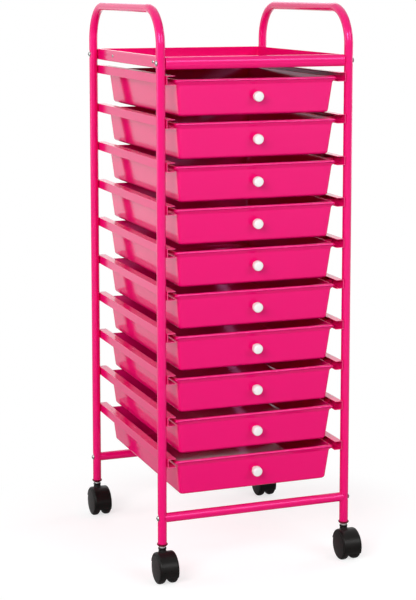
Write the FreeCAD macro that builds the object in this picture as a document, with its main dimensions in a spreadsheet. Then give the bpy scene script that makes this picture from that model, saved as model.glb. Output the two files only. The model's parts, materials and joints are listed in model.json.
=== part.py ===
import FreeCAD, Part
import Sketcher
import math
import os
import re

# Rolling cart: two arched tube frames carry a top tray and ten drawers on four twin-wheel casters.
# Frame: +X to the right, +Y to the back, +Z up, origin on the floor under the middle of the cart's box.

DRAWER_COUNT = 10

# Driving sizes in millimetres, with angles in degrees
SIZES = {
    # tube frame
    "post_span_x": 318.0,  # between the centres of the left and right posts
    "post_span_y": 361.5,  # between the centres of the front and rear posts
    "arch_top": 914.0,  # floor to the top of the handles
    "tube_diameter": 14.5,
    "tube_wall": 1.2,
    "bend_radius": 60.0,  # of the handle's corners, on the tube's centre line
    "bar_diameter": 15.0,
    "bar_wall": 1.2,
    "bar_rise": 41.5,  # the cross bars' centre above the posts' lower ends
    "bar_setback": 3.0,  # from a post's centre to the end of a bar's coped lips
    "seat_gap": 0.1,  # left between a round tube and what is welded or bolted to it
    # drawer rails
    "rail_rise": 82.75,  # the underside of the lowest rails above the cross bars' centre
    "tray_gap": 9.5,  # between the highest rails and the tray
    "rail_height": 14.5,
    "rail_sheet": 1.0,
    "rail_flange": 13.6,
    "rail_bend": 0.8,
    "stop_inset": 6.0,  # the rear stop ahead of the rail's rear end
    "stop_gap": 0.3,  # between a closed drawer and the rail's rear stop
    # drawer tubs
    "drawer_gap": 9.35,  # between the floor of one drawer and the rim of the next
    "tub_front": 1.6,  # the front wall's top edge ahead of the post centres
    "tub_draft": 6.4,
    "tub_wall": 1.6,
    "tub_floor": 1.8,
    "tub_corner": 12.0,
    "tub_foot_round": 5.0,
    "rim_sheet": 1.8,
    "rim_back": 6.0,  # the rim past the rear wall
    "lip_side": 3.9,  # the front lip past the side walls
    "lip_reach": 4.6,  # the front lip ahead of the front wall
    "lip_height": 5.4,
    "lip_corner": 3.5,
    "lip_edge": 0.8,
    "runner_setback": 12.0,  # from the lip's face to where the runners begin
    "runner_reach": 15.85,  # the runner's outer face past the side wall
    "runner_height": 6.8,
    "runner_wall": 1.8,
    "runner_gap": 0.3,  # under the runners, on the rails' lower flanges
    "runner_side_gap": 1.2,
    # drawer knobs
    "knob_drop": 27.3,  # the knob's centre below the rim
    "knob_diameter": 17.0,
    "knob_height": 16.0,
    "knob_neck": 9.0,
    "knob_neck_height": 6.5,
    "knob_round": 2.5,
    "screw_diameter": 4.0,
    "screw_depth": 9.0,  # how far the screw goes into the knob
    "screw_head": 8.0,
    "screw_head_height": 2.6,
    # top tray
    "tray_drop": 81.7,  # the tray's rim below the top of the handles
    "tray_depth": 18.8,
    "tray_overhang": 5.0,  # the tray ahead of and behind the post centres
    "tray_side_wall": 4.0,
    "tray_end_wall": 10.0,
    "tray_floor": 1.2,
    "tray_corner": 6.0,
    "tray_inner_corner": 3.0,
    "tray_top_round": 2.5,
    "tray_foot_round": 3.5,
    "rivet_front": 58.0,  # from the front post centres to the front rivets
    "rivet_rear": 90.0,  # from the rear rivets to the rear post centres
    "rivet_diameter": 3.2,
    "rivet_head": 6.0,
    "rivet_head_height": 1.2,
    "rivet_tail": 0.6,  # past the inside of the tray's wall
    # bolts and the threaded pieces that take them
    "bolt_diameter": 5.0,
    "bolt_length": 24.0,
    "bolt_head": 8.8,
    "bolt_head_height": 2.6,
    "bolt_head_round": 2.2,
    "bolt_hole_gap": 0.1,
    "insert_length": 16.0,
    "tray_insert": 8.0,
    "press_gap": 0.03,  # radial, between pressed pieces
    # casters
    "wheel_diameter": 48.0,
    "caster_width": 33.5,
    "caster_trail": 14.0,  # the axle ahead of the stem
    "wheel_gap": 5.6,  # between the twin wheels
    "wheel_edge": 6.0,
    "wheel_rim": 3.5,
    "wheel_dish": 2.6,
    "wheel_hub": 7.5,
    "web_gap": 0.5,  # between the hood's web and a wheel
    "guard_gap": 0.7,
    "guard_wall": 1.8,
    "guard_round": 1.4,
    "guard_drop": 11.0,  # the guard's front edge below the axle
    "guard_rise": 7.0,  # the guard's rear edge above the axle
    "web_drop": 8.0,  # the web's lowest point below the axle
    "axle_diameter": 6.0,
    "axle_inset": 3.0,  # the axle's end inside the wheel's outer face
    "running_gap": 0.05,
    "end_gap": 0.3,  # beyond the ends of the axle and the stem in their blind holes
    "collar_rise": 3.4,  # the hood's collar above the guard
    "stem_diameter": 8.0,
    "stem_depth": 7.2,  # of the stem's hole in the hood
    "boss_wall": 2.5,
    "shoulder_reach": 1.0,  # the stem's shoulder past the stem
    "shoulder_height": 1.8,
    "shoulder_gap": 0.3,  # between the hood's collar and the stem's shoulder
    "flange_reach": 1.5,  # the socket's flange past the post
    "flange_height": 4.0,
    "flange_chamfer": 2.4,
    "socket_length": 34.0,
}

# Sizes and places worked out from the driving sizes
WORKED_OUT = {
    "post_x": "post_span_x / 2",
    "post_y": "post_span_y / 2",
    "tube_radius": "tube_diameter / 2",
    "inner_face": "post_x - tube_radius - seat_gap",
    "bolt_seat": "post_x + tube_radius + seat_gap",
    "bar_insert": "bar_diameter - 2 * bar_wall - 2 * press_gap",
    # casters, from the floor up to the posts
    "wheel_radius": "wheel_diameter / 2",
    "guard_radius": "wheel_radius + guard_gap + guard_wall",
    "guard_back": "sqrt(guard_radius ^ 2 - guard_rise ^ 2)",
    "axle_half": "caster_width / 2 - axle_inset",
    "collar_top": "wheel_radius + guard_radius + collar_rise",
    "shoulder_foot": "collar_top + shoulder_gap",
    "flange_foot": "shoulder_foot + shoulder_height",
    "post_foot": "flange_foot + flange_height",
    # the posts' planes, with the cart's box about the origin
    "frame_mid": "caster_trail + (guard_radius - guard_back) / 2",
    "front_plane": "frame_mid - post_y",
    "rear_plane": "frame_mid + post_y",
    # heights of the tray and the drawers
    "tray_rim": "arch_top - tray_drop",
    "tray_foot": "tray_rim - tray_depth",
    "tray_middle": "tray_rim - tray_depth / 2",
    "bar_height": "post_foot + bar_rise",
    "lowest_rail": "bar_height + rail_rise",
    "top_rail": "tray_foot - tray_gap - rail_height",
    "drawer_pitch": f"(top_rail - lowest_rail) / {DRAWER_COUNT - 1}",
    "rim_top": "top_rail + rail_sheet + runner_gap + runner_height",
    "tub_height": "drawer_pitch - drawer_gap",
    # a drawer's outline, from the posts' inner sides and the rails' stops
    "runner_half": "inner_face - rail_sheet - runner_side_gap",
    "tub_half": "runner_half - runner_reach",
    "lip_half": "tub_half + lip_side",
    "lip_front": "-tub_front - lip_reach",
    "runner_front": "lip_front + runner_setback",
    "stop_face": "post_span_y + tube_radius - stop_inset - rail_sheet",
    "rim_end": "stop_face - stop_gap",
    "tub_end": "rim_end - rim_back",
}

doc = FreeCAD.newDocument("DrawerCart")
sheet = doc.addObject("Spreadsheet::Sheet", "Sheet")
cells = {name: str(number) for name, number in SIZES.items()}
cells.update({name: f"={formula}" for name, formula in WORKED_OUT.items()})
for row, (name, content) in enumerate(cells.items(), start=1):
    sheet.set(f"A{row}", name.replace("_", " "))
    sheet.set(f"B{row}", content)
    sheet.setAlias(f"B{row}", name)
doc.recompute()

finished = []


def tie(expression):
    """The expression with every size's name pointing at its cell in the sheet."""
    return re.sub(r"[a-z_]+", lambda word: f"Sheet.{word[0]}" if word[0] in cells else word[0], expression)


def value(expression):
    """The expression's number, from the sheet."""
    return float(sheet.evalExpression(expression))


def bind(item, **expressions):
    """Binds properties to expressions; a double underscore in a name stands for a dot."""
    for name, expression in expressions.items():
        item.setExpression(name.replace("__", "."), tie(expression))


def new_body(label):
    """An empty sub-part, listed for writing."""
    body = doc.addObject("PartDesign::Body", label)
    body.Label = label
    finished.append(body)
    return body


def place(body, x="0", y="0", z="0"):
    bind(body, Placement__Base__x=x, Placement__Base__y=y, Placement__Base__z=z)


def origin_feature(body, role):
    return [item for item in body.Origin.OriginFeatures if item.Role == role][0]


def new_sketch(body, plane, x="0", y="0", offset="0"):
    """A sketch on one of the body's planes, shifted by x and y within it and by offset along its normal."""
    sketch = body.newObject("Sketcher::SketchObject", "Sketch")
    sketch.AttachmentSupport = [(origin_feature(body, plane), "")]
    sketch.MapMode = "FlatFace"
    bind(
        sketch,
        AttachmentOffset__Base__x=x,
        AttachmentOffset__Base__y=y,
        AttachmentOffset__Base__z=offset,
    )
    return sketch


def pin_point(sketch, item, end, x=None, y=None):
    """Holds a point at expressions for its distances from the sketch's origin."""
    for kind, expression in (("DistanceX", x), ("DistanceY", y)):
        if expression is not None:
            number = sketch.addConstraint(Sketcher.Constraint(kind, -1, 1, item, end, value(expression)))
            sketch.setExpression(f"Constraints[{number}]", tie(expression))


def set_radius(sketch, item, radius):
    number = sketch.addConstraint(Sketcher.Constraint("Radius", item, value(radius)))
    sketch.setExpression(f"Constraints[{number}]", tie(radius))


def polygon(sketch, points):
    """A closed outline of straight lines through points given as pairs of expressions."""
    spots = [FreeCAD.Vector(value(x), value(y), 0) for x, y in points]
    count = len(spots)
    first = sketch.GeometryCount
    for i in range(count):
        sketch.addGeometry(Part.LineSegment(spots[i], spots[(i + 1) % count]), False)
    for i, (x, y) in enumerate(points):
        sketch.addConstraint(Sketcher.Constraint("Coincident", first + i, 2, first + (i + 1) % count, 1))
        pin_point(sketch, first + i, 1, x, y)


def circle(sketch, x, y, radius):
    centre = FreeCAD.Vector(value(x), value(y), 0)
    item = sketch.addGeometry(Part.Circle(centre, FreeCAD.Vector(0, 0, 1), value(radius)), False)
    pin_point(sketch, item, 3, x, y)
    set_radius(sketch, item, radius)


def rounded_rectangle(sketch, half_x, low_y, high_y, corner):
    """A rectangle about the sketch's vertical axis with four equal round corners."""
    right, low, high, r = value(half_x), value(low_y), value(high_y), value(corner)
    first = sketch.GeometryCount
    normal = FreeCAD.Vector(0, 0, 1)
    # each side as its two ends, followed by the corner that it runs into
    sides = (
        ((-right + r, low), (right - r, low), (right - r, low + r), -90),
        ((right, low + r), (right, high - r), (right - r, high - r), 0),
        ((right - r, high), (-right + r, high), (-right + r, high - r), 90),
        ((-right, high - r), (-right, low + r), (-right + r, low + r), 180),
    )
    for start, end, centre, angle in sides:
        sketch.addGeometry(Part.LineSegment(FreeCAD.Vector(*start, 0), FreeCAD.Vector(*end, 0)), False)
        round_ = Part.Circle(FreeCAD.Vector(*centre, 0), normal, r)
        sweep = (math.radians(angle), math.radians(angle + 90))
        sketch.addGeometry(Part.ArcOfCircle(round_, *sweep), False)
    for i in range(4):
        line = first + 2 * i
        arc = line + 1
        sketch.addConstraint(Sketcher.Constraint("Tangent", line, 2, arc, 1))
        sketch.addConstraint(Sketcher.Constraint("Tangent", arc, 2, first + (2 * i + 2) % 8, 1))
        sketch.addConstraint(Sketcher.Constraint("Horizontal" if i % 2 == 0 else "Vertical", line))
        if i > 0:
            sketch.addConstraint(Sketcher.Constraint("Equal", first + 1, arc))
    set_radius(sketch, first + 1, corner)
    pin_point(sketch, first, 1, y=low_y)
    pin_point(sketch, first + 2, 1, x=half_x)
    pin_point(sketch, first + 4, 1, y=high_y)
    pin_point(sketch, first + 6, 1, x=f"-({half_x})")


def pad(body, sketch, length, reverse=False, middle=False, taper=None):
    feature = body.newObject("PartDesign::Pad", "Pad")
    feature.Profile = sketch
    feature.Reversed = reverse
    feature.Midplane = middle
    bind(feature, Length=length)
    if taper:
        bind(feature, TaperAngle=taper)
    doc.recompute()
    return feature


def pocket(body, sketch, depth=None, reverse=False, middle=False, taper=None):
    """A cut of the given depth, or through everything; it has to take material away."""
    before = body.Shape.Volume
    feature = body.newObject("PartDesign::Pocket", "Pocket")
    feature.Profile = sketch
    feature.Reversed = reverse
    feature.Midplane = middle
    if depth:
        bind(feature, Length=depth)
    else:
        feature.Type = "ThroughAll"
    if taper:
        bind(feature, TaperAngle=taper)
    doc.recompute()
    if body.Shape.Volume >= before:
        raise ValueError(f"{body.Label}: a pocket cuts nothing")
    return feature


def revolve(body, sketch, axis):
    feature = body.newObject("PartDesign::Revolution", "Revolution")
    feature.Profile = sketch
    feature.ReferenceAxis = (sketch, [axis])
    feature.Angle = 360
    doc.recompute()
    return feature


def round_edges(body, base, radius, test):
    """Rounds the edges of the base feature that pass the test."""
    names = [f"Edge{i}" for i, edge in enumerate(base.Shape.Edges, start=1) if test(edge.BoundBox)]
    feature = body.newObject("PartDesign::Fillet", "Fillet")
    feature.Base = (base, names)
    bind(feature, Radius=radius)
    doc.recompute()
    return feature


def near(number, expression):
    return abs(number - value(expression)) < 0.001


def level(box, height):
    """True for an edge that lies flat at a height."""
    return near(box.ZMin, height) and near(box.ZMax, height)


def mirror_across(body, plane):
    """Adds the mirror image of the whole body."""
    feature = body.newObject("PartDesign::Mirrored", "Mirrored")
    feature.TransformMode = "Whole shape"
    feature.MirrorPlane = (origin_feature(body, plane), [""])
    body.Tip = feature
    doc.recompute()


def repeat_along(body, axis, count, length, reverse=False):
    """Repeats the whole body along one of its axes."""
    feature = body.newObject("PartDesign::LinearPattern", "LinearPattern")
    feature.TransformMode = "Whole shape"
    feature.Direction = (origin_feature(body, axis), [""])
    feature.Reversed = reverse
    feature.Occurrences = count
    bind(feature, Length=length)
    body.Tip = feature
    doc.recompute()


def copy_of(master, label):
    """A further sub-part with the master's shape and a placement of its own."""
    body = new_body(label)
    feature = body.newObject("PartDesign::FeatureBase", "Base")
    feature.BaseFeature = master
    body.Tip = feature
    return body


def mirror_image(source, label):
    """The sub-part on the other side of the cart's middle plane."""
    image = doc.addObject("Part::Mirroring", label)
    image.Label = label
    image.Source = source
    image.Normal = FreeCAD.Vector(1, 0, 0)
    finished.append(image)


def make_form(label):
    """A body that is only copied, so it isn't written itself."""
    form = new_body(label)
    finished.remove(form)
    return form


def make_arch_tubes():
    """Each side's two posts and handle, bent from one tube, with cross holes for the bolts."""
    body = new_body("left_arch_tube")
    crown = "(arch_top - tube_radius)"
    shoulder = f"({crown} - bend_radius)"
    path = new_sketch(body, "YZ_Plane")
    front, rear = value("-post_y"), value("post_y")
    low, turn, top, r = value("post_foot"), value(shoulder), value(crown), value("bend_radius")
    normal = FreeCAD.Vector(0, 0, 1)
    front_bend = Part.Circle(FreeCAD.Vector(front + r, turn, 0), normal, r)
    rear_bend = Part.Circle(FreeCAD.Vector(rear - r, turn, 0), normal, r)
    path.addGeometry(
        [
            Part.LineSegment(FreeCAD.Vector(front, low, 0), FreeCAD.Vector(front, turn, 0)),
            Part.ArcOfCircle(front_bend, math.pi / 2, math.pi),
            Part.LineSegment(FreeCAD.Vector(front + r, top, 0), FreeCAD.Vector(rear - r, top, 0)),
            Part.ArcOfCircle(rear_bend, 0, math.pi / 2),
            Part.LineSegment(FreeCAD.Vector(rear, turn, 0), FreeCAD.Vector(rear, low, 0)),
        ],
        False,
    )
    for first, first_end, second, second_end in ((0, 2, 1, 2), (1, 1, 2, 1), (2, 2, 3, 2), (3, 1, 4, 1)):
        path.addConstraint(Sketcher.Constraint("Tangent", first, first_end, second, second_end))
    path.addConstraint(Sketcher.Constraint("Vertical", 0))
    path.addConstraint(Sketcher.Constraint("Vertical", 4))
    path.addConstraint(Sketcher.Constraint("Equal", 1, 3))
    set_radius(path, 1, "bend_radius")
    pin_point(path, 0, 1, "-post_y", "post_foot")
    pin_point(path, 4, 2, "post_y", "post_foot")
    pin_point(path, 2, 1, y=crown)
    ring = new_sketch(body, "XY_Plane", offset="post_foot")
    circle(ring, "0", "-post_y", "tube_radius")
    circle(ring, "0", "-post_y", "tube_radius - tube_wall")
    doc.recompute()
    tube = body.newObject("PartDesign::AdditivePipe", "AdditivePipe")
    tube.Profile = ring
    tube.Spine = (path, [f"Edge{i}" for i in range(1, 6)])
    doc.recompute()
    holes = new_sketch(body, "YZ_Plane")
    for y in ("-post_y", "post_y"):
        for z in ("bar_height", "tray_middle"):
            circle(holes, y, z, "bolt_diameter / 2 + bolt_hole_gap")
    pocket(body, holes, middle=True)
    place(body, x="-post_x", y="frame_mid")
    mirror_image(body, "right_arch_tube")


def make_rails():
    """Ten channels on each side, open towards the drawers, with a tab bent in behind each runner."""
    body = new_body("left_rails")
    section = new_sketch(body, "XZ_Plane")
    inside_top = "rail_height - rail_sheet"
    polygon(
        section,
        [
            ("0", "0"),
            ("rail_flange", "0"),
            ("rail_flange", "rail_sheet"),
            ("rail_sheet", "rail_sheet"),
            ("rail_sheet", inside_top),
            ("rail_flange", inside_top),
            ("rail_flange", "rail_height"),
            ("0", "rail_height"),
        ],
    )
    channel = pad(body, section, "post_span_y + tube_diameter", reverse=True)

    def on_bend(box):
        along = box.YLength > value("post_span_y")
        return along and near(box.XMax, "0") and (level(box, "0") or level(box, "rail_height"))

    round_edges(body, channel, "rail_bend", on_bend)
    tab = new_sketch(body, "XZ_Plane", offset="-(tube_radius + stop_face)")
    root = "rail_sheet / 2"
    low, high = "rail_sheet + stop_gap", f"{inside_top} - stop_gap"
    polygon(tab, [(root, low), ("rail_flange", low), ("rail_flange", high), (root, high)])
    pad(body, tab, "rail_sheet", reverse=True)
    repeat_along(body, "Z_Axis", DRAWER_COUNT, f"drawer_pitch * {DRAWER_COUNT - 1}", reverse=True)
    place(body, x="-inner_face", y="front_plane - tube_radius", z="top_rail")
    mirror_image(body, "right_rails")


def make_cross_bars():
    """Tubes between the posts near the floor, hollowed at the ends to sit against them."""
    for label, plane in (("front_cross_bar", "front_plane"), ("rear_cross_bar", "rear_plane")):
        body = new_body(label)
        ring = new_sketch(body, "YZ_Plane")
        circle(ring, "0", "0", "bar_diameter / 2")
        circle(ring, "0", "0", "bar_diameter / 2 - bar_wall")
        pad(body, ring, "post_span_x - 2 * bar_setback", middle=True)
        copes = new_sketch(body, "XY_Plane")
        for x in ("-post_x", "post_x"):
            circle(copes, x, "0", "tube_radius + seat_gap")
        pocket(body, copes, middle=True)
        place(body, y=plane, z="bar_height")


def make_sleeves(label, diameter, height):
    """Threaded sleeves at the four posts, each around the end of a bolt."""
    body = new_body(label)
    ring = new_sketch(body, "YZ_Plane", offset="-(inner_face - seat_gap)")
    circle(ring, "0", "0", f"({diameter}) / 2")
    circle(ring, "0", "0", "bolt_diameter / 2 + press_gap")
    pad(body, ring, "insert_length")
    mirror_across(body, "YZ_Plane")
    repeat_along(body, "Y_Axis", 2, "post_span_y")
    place(body, y="front_plane", z=height)


def make_bolts():
    """Dome-head bolts through the posts, into the cross bars and the tray."""
    body = new_body("frame_bolts")
    section = new_sketch(body, "XY_Plane")
    seat = "-bolt_seat"
    top = f"{seat} - bolt_head_height"
    end = f"{seat} + bolt_length"
    shank = "bolt_diameter / 2"
    head = "bolt_head / 2"
    polygon(section, [(top, "0"), (top, head), (seat, head), (seat, shank), (end, shank), (end, "0")])
    bolt = revolve(body, section, "H_Axis")

    def on_crown(box):
        return near(box.XMin, top) and near(box.XMax, top) and box.YLength > value(shank)

    round_edges(body, bolt, "bolt_head_round", on_crown)
    mirror_across(body, "YZ_Plane")
    repeat_along(body, "Y_Axis", 2, "post_span_y")
    repeat_along(body, "Z_Axis", 2, "tray_middle - bar_height")
    place(body, y="front_plane", z="bar_height")


def make_tray():
    """A shallow tray between the handles; its front and rear walls are boxed and take the bolts."""
    body = new_body("top_tray")
    outline = new_sketch(body, "XY_Plane")
    rounded_rectangle(outline, "inner_face", "-tray_overhang", "post_span_y + tray_overhang", "tray_corner")
    block = pad(body, outline, "tray_depth")
    block = round_edges(body, block, "tray_top_round", lambda box: level(box, "tray_depth"))
    round_edges(body, block, "tray_foot_round", lambda box: level(box, "0"))
    inside = new_sketch(body, "XY_Plane", offset="tray_depth")
    rounded_rectangle(
        inside,
        "inner_face - tray_side_wall",
        "tray_end_wall - tray_overhang",
        "post_span_y + tray_overhang - tray_end_wall",
        "tray_inner_corner",
    )
    pocket(body, inside, "tray_depth - tray_floor")
    bores = new_sketch(body, "YZ_Plane")
    for y in ("0", "post_span_y"):
        circle(bores, y, "tray_depth / 2", "tray_insert / 2 + press_gap")
    for y in ("rivet_front", "post_span_y - rivet_rear"):
        circle(bores, y, "tray_depth / 2", "rivet_diameter / 2 + press_gap")
    pocket(body, bores, middle=True)
    place(body, y="front_plane", z="tray_foot")


def make_rivets():
    """Blind rivets through the tray's side walls, heads outwards."""
    body = new_body("tray_rivets")
    section = new_sketch(body, "XY_Plane")
    seat = "-inner_face"
    top = f"{seat} - rivet_head_height"
    end = f"{seat} + tray_side_wall + rivet_tail"
    shank = "rivet_diameter / 2"
    crown = "rivet_head / 2 - rivet_head_height / 2"
    polygon(
        section,
        [(top, "0"), (top, crown), (seat, "rivet_head / 2"), (seat, shank), (end, shank), (end, "0")],
    )
    revolve(body, section, "H_Axis")
    mirror_across(body, "YZ_Plane")
    repeat_along(body, "Y_Axis", 2, "post_span_y - rivet_front - rivet_rear")
    place(body, y="front_plane + rivet_front", z="tray_middle")


def make_tub_form():
    """One drawer: tapered walls hung from a rim, with a front lip and a runner along each side.

    Its origin is at the rim's top, in the plane of the front posts.
    """
    body = make_form("drawer_tub_form")
    outside = new_sketch(body, "XY_Plane")
    rounded_rectangle(outside, "tub_half", "-tub_front", "tub_end", "tub_corner")
    block = pad(body, outside, "tub_height", reverse=True, taper="-tub_draft")
    block = round_edges(body, block, "tub_foot_round", lambda box: level(box, "-tub_height"))
    rim = new_sketch(body, "XY_Plane")
    polygon(
        rim,
        [
            ("-lip_half", "lip_front"),
            ("lip_half", "lip_front"),
            ("lip_half", "runner_front"),
            ("runner_half", "runner_front"),
            ("runner_half", "rim_end"),
            ("-runner_half", "rim_end"),
            ("-runner_half", "runner_front"),
            ("-lip_half", "runner_front"),
        ],
    )
    pad(body, rim, "rim_sheet", reverse=True)
    front_lip = new_sketch(body, "XY_Plane")
    inner_lip = "lip_half - runner_wall"
    inner_front = "lip_front + runner_wall"
    polygon(
        front_lip,
        [
            ("-lip_half", "lip_front"),
            ("lip_half", "lip_front"),
            ("lip_half", "runner_front"),
            (inner_lip, "runner_front"),
            (inner_lip, inner_front),
            (f"-({inner_lip})", inner_front),
            (f"-({inner_lip})", "runner_front"),
            ("-lip_half", "runner_front"),
        ],
    )
    rim_top_feature = pad(body, front_lip, "lip_height", reverse=True)

    def on_lip_corner(box):
        upright = box.XLength < 0.001 and box.YLength < 0.001
        return upright and near(abs(box.XMin), "lip_half") and near(box.YMin, "lip_front")

    rim_top_feature = round_edges(body, rim_top_feature, "lip_corner", on_lip_corner)

    def on_lip_edge(box):
        return (level(box, "0") or level(box, "-lip_height")) and near(box.YMin, "lip_front")

    round_edges(body, rim_top_feature, "lip_edge", on_lip_edge)
    runners = new_sketch(body, "XY_Plane")
    inner_runner = "runner_half - runner_wall"
    inner_start = "runner_front + runner_wall"
    for side in ("", "-"):
        polygon(
            runners,
            [
                (f"{side}({inner_lip})", "runner_front"),
                (f"{side}runner_half", "runner_front"),
                (f"{side}runner_half", "rim_end"),
                (f"{side}({inner_runner})", "rim_end"),
                (f"{side}({inner_runner})", inner_start),
                (f"{side}({inner_lip})", inner_start),
            ],
        )
    pad(body, runners, "runner_height", reverse=True)
    inside = new_sketch(body, "XY_Plane")
    rounded_rectangle(
        inside,
        "tub_half - tub_wall",
        "tub_wall - tub_front",
        "tub_end - tub_wall",
        "tub_corner - tub_wall",
    )
    hollow = pocket(body, inside, "tub_height - tub_floor", taper="-tub_draft")
    inner_floor = "tub_floor - tub_height"
    round_edges(body, hollow, "tub_foot_round - tub_wall", lambda box: level(box, inner_floor))
    hole = body.newObject("PartDesign::SubtractiveCylinder", "ScrewHole")
    bind(hole, Radius="screw_diameter / 2 + bolt_hole_gap", Height="2 * knob_neck")
    tilt_to_front(hole, "-knob_neck")
    doc.recompute()
    return body


def tilt_to_front(item, along="0"):
    """Stands an upright piece on a tub's sloping front wall, at the knob's place in the tub's frame."""
    item.Placement = FreeCAD.Placement(FreeCAD.Vector(), FreeCAD.Rotation(FreeCAD.Vector(1, 0, 0), 90))
    bind(
        item,
        Placement__Rotation__Angle="90 + tub_draft",
        Placement__Base__y=f"knob_drop * tan(tub_draft) - tub_front - ({along}) * cos(tub_draft)",
        Placement__Base__z=f"-knob_drop - ({along}) * sin(tub_draft)",
    )


def make_knob_form():
    """A round knob on a neck, standing along +Z, with a blind hole for its screw."""
    body = make_form("drawer_knob_form")
    section = new_sketch(body, "XZ_Plane")
    bore = "screw_diameter / 2 + press_gap"
    neck, head = "knob_neck / 2", "knob_diameter / 2"
    depth = "screw_depth + stop_gap"
    polygon(
        section,
        [
            (bore, "0"),
            (neck, "0"),
            (neck, "knob_neck_height"),
            (head, "knob_neck_height"),
            (head, "knob_height"),
            ("0", "knob_height"),
            ("0", depth),
            (bore, depth),
        ],
    )
    turned = revolve(body, section, "V_Axis")

    round_edges(body, turned, "knob_round", lambda box: near(box.XLength, "knob_diameter"))
    return body


def make_screw_form():
    """A pan-head screw along +Z; its head bears on the inside of the tub's front wall."""
    body = make_form("knob_screw_form")
    section = new_sketch(body, "XZ_Plane")
    seat = "-(tub_wall * cos(tub_draft) + seat_gap)"
    foot = f"{seat} - screw_head_height"
    shank, head = "screw_diameter / 2", "screw_head / 2"
    polygon(
        section,
        [
            ("0", foot),
            (head, foot),
            (head, seat),
            (shank, seat),
            (shank, "screw_depth"),
            ("0", "screw_depth"),
        ],
    )
    turned = revolve(body, section, "V_Axis")
    round_edges(body, turned, "screw_head_height / 2", lambda box: level(box, foot))
    return body


def make_drawers():
    """Ten equal drawers, each a tub with its knob and screw, one pitch apart."""
    tub, knob, screw = make_tub_form(), make_knob_form(), make_screw_form()
    for i in range(DRAWER_COUNT):
        number = f"{i + 1:02d}"
        height = f"rim_top - drawer_pitch * {i}"
        place(copy_of(tub, f"drawer_tub_{number}"), y="front_plane", z=height)
        for form, name in ((knob, "drawer_knob"), (screw, "knob_screw")):
            piece = copy_of(form, f"{name}_{number}")
            piece.Placement.Rotation = FreeCAD.Rotation(FreeCAD.Vector(1, 0, 0), 90)
            bind(piece, Placement__Rotation__Angle="90 + tub_draft")
            seat = "front_plane + knob_drop * tan(tub_draft) - tub_front"
            place(piece, y=seat, z=f"{height} - knob_drop")


def make_corner_lathe(label, points):
    """A turned piece on each of the four post axes, from a section given as radius and height."""
    body = new_body(label)
    section = new_sketch(body, "XZ_Plane", x="-post_x")
    polygon(section, points)
    revolve(body, section, "V_Axis")
    mirror_across(body, "YZ_Plane")
    repeat_along(body, "Y_Axis", 2, "post_span_y")
    place(body, y="front_plane")


def make_sockets():
    """Plastic sleeves pressed into the posts, each with a flange under the tube's end."""
    bore = "stem_diameter / 2 + press_gap"
    sleeve = "tube_radius - tube_wall - press_gap"
    flange = "tube_radius + flange_reach"
    top = "post_foot + socket_length"
    make_corner_lathe(
        "caster_sockets",
        [
            (bore, "flange_foot"),
            (f"{flange} - flange_chamfer", "flange_foot"),
            (flange, "flange_foot + flange_chamfer"),
            (flange, "post_foot"),
            (sleeve, "post_foot"),
            (sleeve, top),
            (bore, top),
        ],
    )


def make_stems():
    """Steel stems with a shoulder under the socket; the hoods turn on their lower ends."""
    radius, shoulder = "stem_diameter / 2", "stem_diameter / 2 + shoulder_reach"
    foot = "collar_top - stem_depth + end_gap"
    top = "post_foot + socket_length"
    make_corner_lathe(
        "caster_stems",
        [
            ("0", foot),
            (radius, foot),
            (radius, "shoulder_foot"),
            (shoulder, "shoulder_foot"),
            (shoulder, "flange_foot"),
            (radius, "flange_foot"),
            (radius, top),
            ("0", top),
        ],
    )


def make_hood_form():
    """A caster's hood: a web between the wheels, a guard over them and a boss around the stem.

    Its origin is on the floor under the stem.
    """
    body = make_form("caster_hood_form")
    side = new_sketch(body, "YZ_Plane", x="-caster_trail", y="wheel_radius")
    radius = value("guard_radius")
    rear = math.asin(value("guard_rise") / radius)
    front = math.pi + math.asin(value("guard_drop") / radius)
    rim = Part.Circle(FreeCAD.Vector(0, 0, 0), FreeCAD.Vector(0, 0, 1), radius)
    lowest = FreeCAD.Vector(0, -value("web_drop"), 0)
    arc = Part.ArcOfCircle(rim, rear, front)
    side.addGeometry(
        [arc, Part.LineSegment(arc.EndPoint, lowest), Part.LineSegment(lowest, arc.StartPoint)],
        False,
    )
    for first, second, end in ((0, 1, 1), (1, 2, 1)):
        side.addConstraint(Sketcher.Constraint("Coincident", first, 2, second, end))
    side.addConstraint(Sketcher.Constraint("Coincident", 2, 2, 0, 1))
    side.addConstraint(Sketcher.Constraint("Coincident", 0, 3, -1, 1))
    set_radius(side, 0, "guard_radius")
    pin_point(side, 0, 1, y="guard_rise")
    pin_point(side, 0, 2, y="-guard_drop")
    pin_point(side, 1, 2, "0", "-web_drop")
    block = pad(body, side, "caster_width", middle=True)

    def on_guard_edge(box):
        return near(abs(box.XMin), "caster_width / 2") and near(box.ZMax, "wheel_radius + guard_radius")

    round_edges(body, block, "guard_round", on_guard_edge)
    boss = new_sketch(body, "XY_Plane", offset="wheel_radius")
    circle(boss, "0", "0", "stem_diameter / 2 + boss_wall")
    pad(body, boss, "collar_top - wheel_radius")
    for toward in (1, -1):
        web_face = f"{toward} * (wheel_gap / 2 - web_gap)"
        room = new_sketch(body, "YZ_Plane", "-caster_trail", "wheel_radius", web_face)
        circle(room, "0", "0", "wheel_radius + guard_gap")
        pocket(body, room, "caster_width", reverse=toward > 0)
    bearing = new_sketch(body, "XY_Plane", offset="collar_top")
    circle(bearing, "0", "0", "stem_diameter / 2 + running_gap")
    pocket(body, bearing, "stem_depth")
    bore = new_sketch(body, "YZ_Plane", x="-caster_trail", y="wheel_radius")
    circle(bore, "0", "0", "axle_diameter / 2 + press_gap")
    pocket(body, bore, middle=True)
    return body


def make_axle_form():
    """A plain pin through the hood's web."""
    body = make_form("caster_axle_form")
    ring = new_sketch(body, "YZ_Plane", x="-caster_trail", y="wheel_radius")
    circle(ring, "0", "0", "axle_diameter / 2")
    pad(body, ring, "2 * axle_half", middle=True)
    return body


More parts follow.
